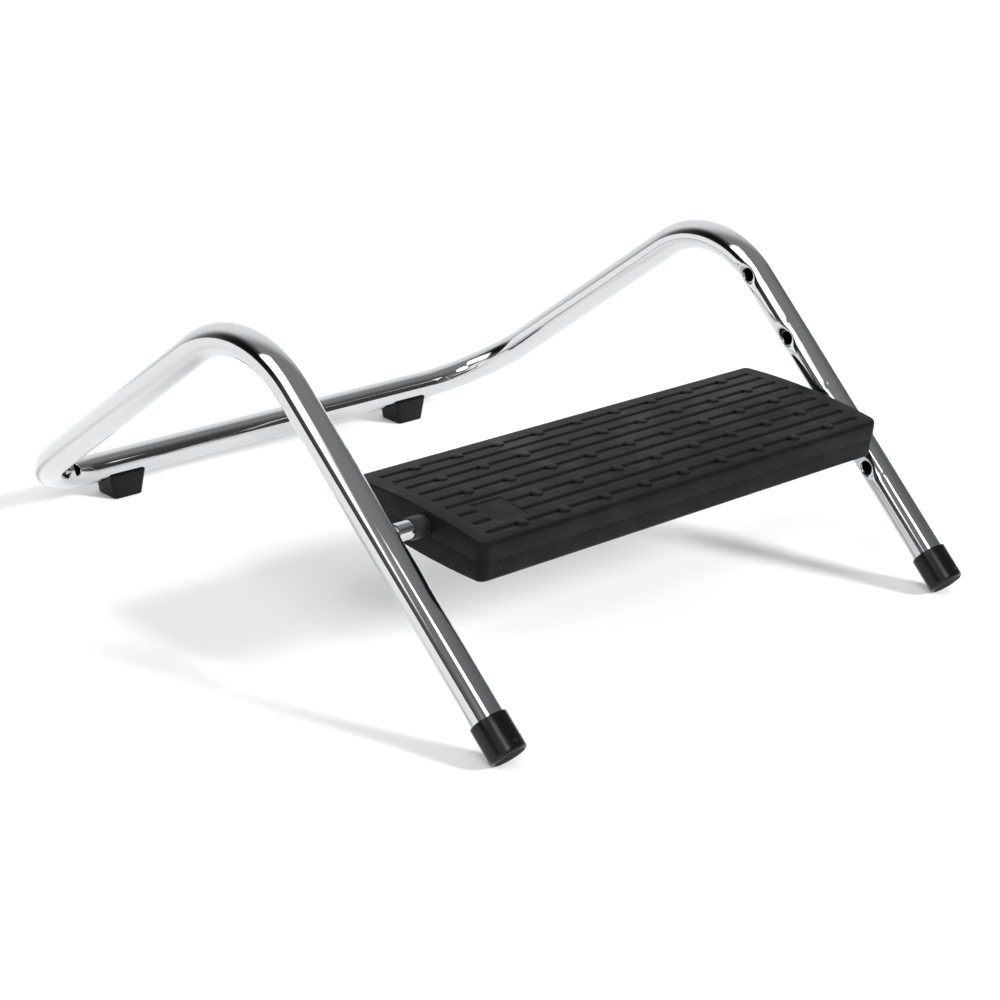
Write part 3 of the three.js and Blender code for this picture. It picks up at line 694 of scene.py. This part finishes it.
def cut_away(piece, cutter_points, cutter_faces, crease):
    """Takes a closed form out of a piece's mesh, and shades it again."""
    cutter = make_piece("cutter", cutter_points, cutter_faces, "frame")
    cut = piece.modifiers.new("cut", "BOOLEAN")
    cut.operation = "DIFFERENCE"
    cut.solver = "EXACT"
    cut.object = cutter
    bpy.context.view_layer.update()
    cut_mesh = bpy.data.meshes.new_from_object(piece.evaluated_get(bpy.context.evaluated_depsgraph_get()))
    piece.modifiers.clear()
    piece.data = cut_mesh
    piece.data.materials.clear()
    piece.data.shade_smooth()
    piece.data.set_sharp_from_angle(angle=crease)
    bpy.data.objects.remove(cutter)


def rod(radius, low, high):
    return [(0, low), (radius, low), (radius, high), (0, high)]


def rear_pad(side, word):
    centre = Vector((side * pad_offset, rear_reach - row_middle, 0))
    points, faces = pad_block(centre)
    crease = math.radians(30)
    pad = make_piece(f"rubber_pad_{word}", points, faces, "frame", crease)
    along_bar, upwards = Vector((1, 0, 0)), Vector((0, 0, 1))
    bar_start = centre + Vector((-pad_top_length, 0, rear_bar_height))
    seat = rod(tube_radius + pad_seat_gap, 0, 2 * pad_top_length)
    cut_away(pad, *turned(seat, bar_start, along_bar, upwards), crease)
    recess = rod(pad_screw_recess, -cutter_overrun, pad_recess_depth)
    cut_away(pad, *turned(recess, centre, upwards, along_bar, 48), crease)
    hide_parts(f"rear_pad_{word}")
    use_material(pad, rubber)


rear_pad(-1, "left")
rear_pad(1, "right")


# Upper shell of the platform: an arched tread moulded in black plastic, with long soft grooves for
# grip, domed studs on every second groove and a smooth patch near the left front corner.
axle = Vector(frame["joints"][0]["pos_m"]) / mm
tilt = Matrix.Rotation(math.radians(3.4), 3, "X")
left_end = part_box("tread_shell")[0].x / mm
right_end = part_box("tread_shell")[1].x / mm
rear_overhang, front_overhang = 73.5, 55.0
crown_height, belly_depth, arch_radius = 10.4, 21.6, 540.0
parting_drop, parting_gap, parting_step = 5.3, 0.3, 0.5
corner_radius = 7.0
rear_edge_round, front_edge_round, end_edge_round = 5.0, 3.0, 1.2
shell_wall, ceiling_drop = 2.6, 1.5


def on_platform(x, y, z):
    """A place measured from the axle, along the platform, rearwards and up, set in the row's frame."""
    return axle + tilt @ Vector((x, y, z))


def arch_sag(y):
    return arch_radius - math.sqrt(arch_radius ** 2 - y ** 2)


def top_height(y):
    return crown_height - arch_sag(y)


def bottom_height(y):
    return arch_sag(y) - belly_depth


corner_steps, edge_steps, grid_inset = 10, 6, 9.0


def outline(x_lines, y_lines):
    """The platform from above: points, outward normals and the border point of the grid each faces.

    There is one for each line of the grid's border and a fan of them at each rounded corner."""
    ring = []
    front, rear = -front_overhang, rear_overhang
    last_x, last_y = len(x_lines) - 1, len(y_lines) - 1

    def corner(centre_x, centre_y, from_angle, border_point):
        for step in range(corner_steps + 1):
            angle = from_angle + math.pi / 2 * step / corner_steps
            normal = (math.cos(angle), math.sin(angle))
            point = (centre_x + corner_radius * normal[0], centre_y + corner_radius * normal[1])
            ring.append((point, normal, border_point))

    for i, x in enumerate(x_lines):
        ring.append(((x, front), (0, -1), (i, 0)))
    corner(right_end - corner_radius, front + corner_radius, -math.pi / 2, (last_x, 0))
    for j, y in enumerate(y_lines):
        ring.append(((right_end, y), (1, 0), (last_x, j)))
    corner(right_end - corner_radius, rear - corner_radius, 0, (last_x, last_y))
    for i in range(last_x, -1, -1):
        ring.append(((x_lines[i], rear), (0, 1), (i, last_y)))
    corner(left_end + corner_radius, rear - corner_radius, math.pi / 2, (0, last_y))
    for j in range(last_y, -1, -1):
        ring.append(((left_end, y_lines[j]), (-1, 0), (0, j)))
    corner(left_end + corner_radius, front + corner_radius, math.pi, (0, 0))
    return ring


def edge_round_at(normal):
    long_edge_round = rear_edge_round if normal[1] > 0 else front_edge_round
    return end_edge_round * normal[0] ** 2 + long_edge_round * normal[1] ** 2


groove_count, groove_margin, groove_pitch = 9, 16.6, 12.56
groove_half_width, groove_depth, groove_end_margin = 1.1, 1.2, 12.3
patch_depth, patch_inset, patch_length, patch_reach = 0.4, 27.5, 26.0, 3
groove_rows = [rear_overhang - groove_margin - index * groove_pitch for index in range(groove_count)]
groove_side = [(3.4, 0.0), (2.8, 0.03), (2.3, 0.1), (1.9, 0.24), (1.6, 0.46), (1.35, 0.74), (1.1, 0.98),
               (0.75, 1.14), (0.4, groove_depth)]
groove_section = [(-offset, depth) for offset, depth in groove_side] + [(0.0, groove_depth)]
groove_section += groove_side[::-1]
groove_clearance = groove_side[0][0] + 1.0
groove_run_out = [(-0.45, 0.0), (-0.15, 0.06), (0.05, 0.3), (0.25, 0.72), (0.6, 0.94), (1.1, 1.0)]
patch_low_x = left_end + patch_inset
patch_high_x = patch_low_x + patch_length
patch_rows = (6, 7)
half_land = (groove_pitch - 2 * groove_half_width) / 2
patch_high_y = groove_rows[patch_rows[0]] + half_land + patch_reach
patch_low_y = groove_rows[patch_rows[1]] - half_land
patch_edge = [(-0.35, 0.0), (-0.1, 0.08), (0.1, 0.3), (0.3, patch_depth)]


def between(table, value):
    """Straight-line reading of a table of pairs."""
    if value <= table[0][0]:
        return table[0][1]
    for (a, low), (b, high) in zip(table, table[1:]):
        if value <= b:
            return low + (high - low) * (value - a) / (b - a)
    return table[-1][1]


def groove_share(x, row):
    """How deep a groove is at x, from none to all: it runs out at the ends and at the patch."""
    share = between(groove_run_out, x - left_end - groove_end_margin)
    share *= between(groove_run_out, right_end - groove_end_margin - x)
    if row in patch_rows:
        share *= max(between(groove_run_out, patch_low_x - x), between(groove_run_out, x - patch_high_x))
    return share


def tread_depth(x, y):
    depth = 0.0
    for row, groove_y in enumerate(groove_rows):
        if abs(y - groove_y) < groove_side[0][0]:
            depth = groove_share(x, row) * between(groove_section, y - groove_y)
    inside_x = min(x - patch_low_x, patch_high_x - x)
    inside_y = min(y - patch_low_y, patch_high_y - y)
    return max(depth, min(between(patch_edge, inside_x), between(patch_edge, inside_y)))


def tread_lines():
    xs = {left_end + grid_inset, right_end - grid_inset}
    for offset, _ in groove_run_out:
        xs.update((left_end + groove_end_margin + offset, right_end - groove_end_margin - offset))
        xs.update((patch_low_x - offset, patch_high_x + offset))
    for offset, _ in patch_edge:
        xs.update((patch_low_x + offset, patch_high_x - offset))
    spans = 14
    low, high = patch_high_x + 6, right_end - 20
    xs.update(low + (high - low) * step / spans for step in range(spans + 1))
    xs.update((left_end + 20, (patch_low_x + patch_high_x) / 2))
    ys = {grid_inset - front_overhang, rear_overhang - grid_inset}
    for groove_y in groove_rows:
        ys.update(groove_y + offset for offset, _ in groove_section)
        beside = (groove_y + groove_clearance, groove_y - groove_clearance)
        ys.update(y for y in beside if min(ys) < y < max(ys))
    for offset, _ in patch_edge:
        ys.update((patch_low_y + offset, patch_high_y - offset))
    return sorted(xs), sorted(ys)


stud_radius, stud_pitch, stud_columns = 4.3, 36.3, 9
platform_middle = (left_end + right_end) / 2
stud_profile = [(0, -1.4), (stud_radius, -1.4), (stud_radius, -0.1), (4.25, 0.2), (4.1, 0.45), (3.85, 0.65),
                (3.5, 0.8), (3.0, 0.9), (2.2, 0.98), (1.1, 1.02), (0, 1.03)]


def add_studs(points, faces):
    for row in range(0, groove_count, 2):
        for column in range(stud_columns):
            x = platform_middle + (column - (stud_columns - 1) / 2) * stud_pitch
            y = groove_rows[row]
            beside_x = patch_low_x - stud_radius < x < patch_high_x + stud_radius
            if beside_x and patch_low_y - stud_radius < y < patch_high_y + stud_radius:
                continue
            slope = -math.asin(y / arch_radius)
            axis = tilt @ Vector((0, -math.sin(slope), math.cos(slope)))
            start = on_platform(x, y, top_height(y))
            add_form(points, faces, turned(stud_profile, start, axis, Vector((1, 0, 0)), 32))


def tread_shell():
    xs, ys = tread_lines()
    points, faces, grid = [], [], {}
    for i, x in enumerate(xs):
        for j, y in enumerate(ys):
            grid[i, j] = len(points)
            points.append(on_platform(x, y, top_height(y) - tread_depth(x, y)))
    for i in range(len(xs) - 1):
        for j in range(len(ys) - 1):
            faces.append((grid[i, j], grid[i + 1, j], grid[i + 1, j + 1], grid[i, j + 1]))
    ring = outline(xs, ys)
    loops = [[grid[border_point] for _, _, border_point in ring]]
    for step in range(edge_steps, -1, -1):
        angle = math.pi / 2 * step / edge_steps
        loop = []
        for (x, y), normal, _ in ring:
            edge = edge_round_at(normal)
            inset = edge * (1 - math.cos(angle))
            px, py = x - normal[0] * inset, y - normal[1] * inset
            loop.append(len(points))
            points.append(on_platform(px, py, top_height(py) - edge * (1 - math.sin(angle))))
        loops.append(loop)
    for inset, z in ((0.0, 0.35 - parting_drop), (0.1, 0.1 - parting_drop), (0.35, -parting_drop),
                     (shell_wall, -parting_drop)):
        loop = []
        for (x, y), normal, _ in ring:
            loop.append(len(points))
            points.append(on_platform(x - normal[0] * inset, y - normal[1] * inset, z))
        loops.append(loop)
    ceiling = []
    for (x, y), normal, _ in ring:
        px, py = x - normal[0] * shell_wall, y - normal[1] * shell_wall
        ceiling.append(len(points))
        points.append(on_platform(px, py, top_height(py) - shell_wall - ceiling_drop))
    loops.append(ceiling)
    for first, second in zip(loops, loops[1:]):
        join_rings(faces, first, second)
    inner = {}
    for i in (0, len(xs) - 1):
        for j, y in enumerate(ys):
            inner[i, j] = len(points)
            points.append(on_platform(xs[i], y, top_height(y) - shell_wall - patch_depth))
    for j in range(len(ys) - 1):
        faces.append((inner[0, j], inner[0, j + 1], inner[len(xs) - 1, j + 1], inner[len(xs) - 1, j]))
    nearest = []
    for _, _, (i, j) in ring:
        nearest.append(inner[0 if xs[i] < platform_middle else len(xs) - 1, j])
    join_rings(faces, ceiling, nearest)
    add_studs(points, faces)
    return make_piece("tread", points, faces, "platform", math.radians(50))


tread = tread_shell()
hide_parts("tread_shell")
plastic = moulding("black moulded plastic", (0.005, 0.005, 0.0052), (0.035, 0.035, 0.034), dust_share=0.1,
                   grain=1900.0, dull=0.52, rubbed=0.42, bump=0.25, specular=0.09)
use_material(tread, plastic)


# Lower shell: the platform's underside in the same plastic, bellied and with its ends drawn in
# for the mould. Eight round wells hold the screws that join the two shells.
end_draft = 1.6
well_radius, well_depth, shank_radius, shank_depth = 3.6, 5.0, 2.0, 3
well_window, well_cells, lip_depth = 6.0, 8, 7
screw_row_inset = 15.0
screw_rows = [screw_row_inset - front_overhang, rear_overhang - screw_row_inset]
screw_columns = [left_end + (right_end - left_end) * (index + 0.5) / 4 for index in range(4)]


def steps_between(low, high, count):
    """Lines at even steps from one place to another, both ends with them."""
    return [low + (high - low) * step / count for step in range(count + 1)]


def thinned(values):
    """The values in order, without those that repeat the one before."""
    kept = []
    for value in sorted(values):
        if not kept or value - kept[-1] > 1e-6:
            kept.append(value)
    return kept


def belly_lines():
    half = well_window
    xs, ys = [], []
    for lines, wells in ((xs, screw_columns), (ys, screw_rows)):
        for place in wells:
            lines += [place - half + 2 * half * step / well_cells for step in range(well_cells + 1)]
    lows = [left_end + grid_inset] + [x + half for x in screw_columns]
    highs = [x - half for x in screw_columns] + [right_end - grid_inset]
    for low, high in zip(lows, highs):
        xs += steps_between(low, high, 4)
    ys += [grid_inset - front_overhang, rear_overhang - grid_inset]
    ys += steps_between(screw_rows[0] + half, screw_rows[1] - half, 16)
    return thinned(xs), thinned(ys)


def lower_shell():
    xs, ys = belly_lines()
    bottom = well_depth + shank_depth
    rings = [(0.5, 4.6, 0), (1.0, 4.6, 0), (1.0, 4.0, 0), (1.0, 3.75, 0.06), (1.0, well_radius, 0.3),
             (1.0, well_radius, well_depth), (1.0, shank_radius, well_depth), (1.0, shank_radius, bottom),
             (1.0, 0.02, bottom)]
    holes = []
    for x in screw_columns:
        for y in screw_rows:
            window = [line_near(xs, x - well_window), line_near(xs, x + well_window),
                      line_near(ys, y - well_window), line_near(ys, y + well_window)]
            holes.append(((x, y), window, rings))
    sheet, faces, grid, _ = pierced_sheet(xs, ys, holes)
    points = [on_platform(x, y, bottom_height(y) + depth) for x, y, depth in sheet]
    ring = outline(xs, ys)
    loops = [[grid[border_point] for _, _, border_point in ring]]
    top = -parting_drop - parting_gap
    drop = belly_depth + 2 - parting_drop

    def drawn_in(normal, z, inset):
        drafted = end_draft * (-parting_drop - z) / drop * normal[0] ** 2
        return inset + parting_step + drafted

    for step in range(edge_steps, -1, -1):
        angle = math.pi / 2 * step / edge_steps
        loop = []
        for (x, y), normal, _ in ring:
            edge = edge_round_at(normal)
            base = bottom_height(y) + edge * (1 - math.sin(angle))
            inset = drawn_in(normal, base, edge * (1 - math.cos(angle)))
            px, py = x - normal[0] * inset, y - normal[1] * inset
            loop.append(len(points))
            points.append(on_platform(px, py, bottom_height(py) + edge * (1 - math.sin(angle))))
        loops.append(loop)
    for inset, z in ((0.0, top - 0.3), (0.08, top - 0.08), (0.3, top), (shell_wall, top),
                     (shell_wall, top - lip_depth)):
        loop = []
        for (x, y), normal, _ in ring:
            drawn = drawn_in(normal, z, inset)
            loop.append(len(points))
            points.append(on_platform(x - normal[0] * drawn, y - normal[1] * drawn, z))
        loops.append(loop)
    for first, second in zip(loops, loops[1:]):
        join_rings(faces, first, second)
    faces.append(tuple(loops[-1]))
    return make_piece("underside", points, faces, "platform", math.radians(50))


underside = lower_shell()
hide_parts("lower_shell")
use_material(underside, plastic)


# Pins and bushes: the chromed plunger at the left and the fixed pin at the right hang the
# platform in the leg holes. Each runs in a black nylon bush, whose collar shows at the end.
pin_radius, nose_radius, nose_length = 6.1, 5.0, 7.5
bush_collar_radius, left_collar_length, right_collar_length = 7.4, 12.0, 4.5
bush_sleeve_length, bush_sleeve_radius, bush_bore = 13.7, 7.0, 6.2


def turned_piece(name, profile, start_x, direction, replaced, body, material):
    start = on_platform(start_x, 0, 0)
    points, faces = turned(profile, start, Vector((direction, 0, 0)), tilt @ Vector((0, 0, 1)), 64)
    piece = make_piece(name, points, faces, body)
    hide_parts(replaced)
    use_material(piece, material)
    return piece


nylon = moulding("black nylon", (0.014, 0.014, 0.015), (0.05, 0.05, 0.05), dust_share=0.1, grain=900.0,
                 dull=0.4, rubbed=0.32, bump=0.06, specular=0.35)


def bush_profile(collar_length):
    collar = bush_sleeve_length + fit_gap
    tip = collar + collar_length
    return [(bush_bore, 0), (bush_sleeve_radius, 0), (bush_sleeve_radius, collar),
            (bush_collar_radius - 0.3, collar), (bush_collar_radius, collar + 0.3),
            (bush_collar_radius, tip - 1.2), (bush_collar_radius - 0.35, tip - 0.35),
            (bush_collar_radius - 1.1, tip), (bush_bore + 0.3, tip), (bush_bore, tip - 0.3), (bush_bore, 0)]


turned_piece("bush_left", bush_profile(left_collar_length), left_end + bush_sleeve_length, -1,
             "end_bush_left", "platform", nylon)
turned_piece("bush_right", bush_profile(right_collar_length), right_end - bush_sleeve_length, 1,
             "end_bush_right", "platform", nylon)


def pin_profile(length):
    shoulder = length - nose_length
    return [(pin_radius - 0.4, 0), (pin_radius, 0.4), (pin_radius, shoulder - 0.6),
            (pin_radius - 0.2, shoulder - 0.15), (pin_radius - 0.6, shoulder), (nose_radius, shoulder),
            (nose_radius, length - 1.4), (nose_radius - 0.4, length - 0.5), (nose_radius - 1.3, length),
            (0, length)]


right_pin_low, right_pin_high = (corner.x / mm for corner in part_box("right_pin"))
turned_piece("fixed_pin", [(0, 0)] + pin_profile(right_pin_high - right_pin_low), right_pin_low, 1,
             "right_pin", "platform", chrome)

tail_radius, tail_length, plunger_travel, slot_half_width = 3.0, 12.0, 9.0, 2.3
plunger_tip, plunger_tail = (corner.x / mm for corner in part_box("left_plunger"))
stop_low, stop_high = (corner.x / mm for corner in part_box("plunger_stop_pin"))
plunger_body = plunger_tail - tail_length
tail_profile = [(0, -tail_length), (tail_radius - 0.5, -tail_length), (tail_radius, 0.5 - tail_length),
                (tail_radius, 0)]
plunger_profile = tail_profile + pin_profile(plunger_body - plunger_tip)
plunger = turned_piece("spring_plunger", plunger_profile, plunger_body, -1, "left_plunger", "plunger",
                       chrome)
slot_centre = on_platform(0, 0, 0)
slot_corners = [Vector((x, slot_centre.y + y, slot_centre.z + z))
                for x in (stop_low - fit_gap - plunger_travel, stop_high + fit_gap)
                for y in (-slot_half_width, slot_half_width) for z in (-pin_radius - 1, pin_radius + 1)]
slot_faces = [(0, 1, 3, 2), (4, 6, 7, 5), (0, 4, 5, 1), (2, 3, 7, 6), (0, 2, 6, 4), (1, 5, 7, 3)]
cut_away(plunger, slot_corners, slot_faces, math.radians(38))
use_material(plunger, chrome)


# Screws, cross pins and axle tube: plain zinc-plated steel, seen only from below or through a
# gap.
zinc = metal("zinc plate", (0.62, 0.63, 0.65), clean=0.22, smeared=0.34, bump=0.2)
for node_name in ("axle_tube", "plunger_stop_pin", "spring_seat_pin", "right_pin_key",
                  "rear_pad_screw_left", "rear_pad_screw_right"):
    use_material(frame["nodes"][node_name], zinc)
for index in range(1, 9):
    use_material(frame["nodes"][f"shell_screw_{index}"], zinc)


# Plunger spring: one coil of round wire inside the axle tube, between the plunger's shoulder and
# the seat pin. The real spring shortens as the plunger is pulled back; this mesh keeps one length.
wire_radius, spring_turns, steps_per_turn, wire_sides = 0.6, 9, 32, 10
coil_radius = bush_bore - fit_gap - wire_radius
spring_low, spring_high = (corner.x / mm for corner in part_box("plunger_spring"))


def coil_spring():
    first, last = spring_low + wire_radius, spring_high - wire_radius
    advance = (last - first) / (2 * math.pi * spring_turns)
    steps = spring_turns * steps_per_turn
    points, faces, rings = [], [], []
    for step in range(steps + 1):
        angle = 2 * math.pi * spring_turns * step / steps
        outward = Vector((0, math.cos(angle), math.sin(angle)))
        run = Vector((advance, -coil_radius * outward.z, coil_radius * outward.y)).normalized()
        side = run.cross(outward)
        middle = Vector((first + advance * angle, 0, 0)) + coil_radius * outward
        rings.append(list(range(len(points), len(points) + wire_sides)))
        for corner in range(wire_sides):
            angle_round = 2 * math.pi * corner / wire_sides
            round_wire = outward * math.cos(angle_round) + side * math.sin(angle_round)
            points.append(on_platform(*(middle + wire_radius * round_wire)))
    for ring, following in zip(rings, rings[1:]):
        join_rings(faces, ring, following)
    faces += [tuple(reversed(rings[0])), tuple(rings[-1])]
    return make_piece("coil_spring", points, faces, "platform")


spring = coil_spring()
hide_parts("plunger_spring")
use_material(spring, zinc)
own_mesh(spring)


# The studio: a white paper floor under one soft key light at the front right. The room round it is
# a grey one, with pale walls behind, in front and at the left, dark gaps between them, one long soft
# box overhead and two small lamps. It lights the plastic and stands reflected in the chrome.
floor_mesh = bpy.data.meshes.new("floor")
floor_reach = 6.0
floor_corners = [(floor_reach * x, floor_reach * y, 0) for x, y in ((-1, -1), (1, -1), (1, 1), (-1, 1))]
floor_mesh.from_pydata(floor_corners, [], [(0, 1, 2, 3)])
floor = bpy.data.objects.new("floor", floor_mesh)
bpy.context.scene.collection.objects.link(floor)
paper, _, _ = new_material("white paper floor", (0.88, 0.88, 0.88), 0.0, 0.9)
use_material(floor, paper)


key_direction = (0.463, -0.73, 0.503)
key_lamp = bpy.data.lights.new("light at the front right", "SUN")
key_lamp.energy, key_lamp.angle = 4.1, math.radians(15)
key_light = bpy.data.objects.new("light at the front right", key_lamp)
bpy.context.scene.collection.objects.link(key_light)
key_light.rotation_mode = "QUATERNION"
key_light.rotation_quaternion = Vector(key_direction).to_track_quat("Z", "Y")
key_light.visible_glossy = False

world = bpy.data.worlds.new("studio room")
bpy.context.scene.world = world
world.use_nodes = True
room = world.node_tree
room_direction = room.nodes.new("ShaderNodeTexCoord").outputs["Generated"]


def room_dot(direction):
    dot = room.nodes.new("ShaderNodeVectorMath")
    dot.operation = "DOT_PRODUCT"
    link(room, room_direction, dot.inputs[0])
    dot.inputs[1].default_value = Vector(direction).normalized()
    return dot.outputs["Value"]


def facing(direction, low, high, dim, bright):
    """From dim to bright as a look into the room turns towards a direction, between two cosines."""
    return spread(room, room_dot(direction), low, high, dim, bright)


def soft_box(direction, along, half_length, half_width, softness, bright):
    """A lit rectangle in the room, its long side along a direction, measured as slopes from its middle."""
    middle = Vector(direction).normalized()
    long_side = (Vector(along) - middle * middle.dot(Vector(along))).normalized()
    distance = room_dot(middle)
    inside = spread(room, distance, 0.0, 0.1, 0.0, bright)
    for side, half in ((long_side, half_length), (middle.cross(long_side), half_width)):
        slope = math_in(room, "ABSOLUTE", math_in(room, "DIVIDE", room_dot(side), distance), 0.0)
        within = spread(room, slope, half - softness, half + softness, 1.0, 0.0)
        inside = math_in(room, "MULTIPLY", inside, within)
    return inside


room_grey = 0.185
back_wall = facing((0.313, 0.867, 0.388), 0.525, 0.936, 0.0, 0.86)
ceiling_behind = facing((-0.06, 0.68, 0.73), 0.2, 0.4, 0.0, 0.13)
front_wall = facing((-0.07, -1.0, 0.02), 0.74, 0.98, 0.0, 0.41)
left_wall = facing((-0.82, -0.55, 0.15), 0.86, 0.97, 0.0, 1.2)
dark_far_left = facing((-0.787, 0.543, 0.293), 0.79, 1.0, 1.0, 0.03)
dark_front_right = facing((0.461, -0.841, 0.283), 0.78, 0.96, 1.0, 0.4)
long_box = soft_box((-0.712, 0.064, 0.70), (-0.63, 0.38, -0.68), 0.363, 0.266, 0.03, 3.2)
lamp_over_camera = facing((-0.42, -0.56, 0.715), 0.976, 0.988, 0.0, 9.0)
key_reflection = facing(key_direction, 0.9965, 0.998, 0.0, 3.0)

brightness = room_grey
for wall in (back_wall, ceiling_behind, front_wall, left_wall):
    brightness = math_in(room, "ADD", wall, brightness)
for gap in (dark_far_left, dark_front_right):
    brightness = math_in(room, "MULTIPLY", brightness, gap)
for light in (long_box, lamp_over_camera, key_reflection):
    brightness = math_in(room, "ADD", brightness, light)
link(room, brightness, room.nodes["Background"].inputs["Color"])
bpy.context.scene.view_settings.view_transform = "Standard"


# The camera stands front left of the footrest at the photograph's angle.
camera_data = bpy.data.cameras.new("camera")
camera_data.sensor_width = 36.0
camera_data.lens = 87.705
camera_data.clip_start, camera_data.clip_end = 0.05, 50.0
camera = bpy.data.objects.new("camera", camera_data)
bpy.context.scene.collection.objects.link(camera)
turn, dip, roll = -0.7620845, 0.3771783, 0.0443845
looking = Vector((-math.sin(turn) * math.cos(dip), math.cos(turn) * math.cos(dip), -math.sin(dip)))
level = Vector((math.cos(turn), math.sin(turn), 0))
upright = level.cross(looking)
right = level * math.cos(roll) + upright * math.sin(roll)
up = upright * math.cos(roll) - level * math.sin(roll)
camera_turned = Matrix((right, up, -looking)).transposed().to_4x4()
camera.matrix_world = Matrix.Translation((-1.10441, -0.92767 - row_middle * mm, 0.67917)) @ camera_turned
bpy.context.scene.camera = camera
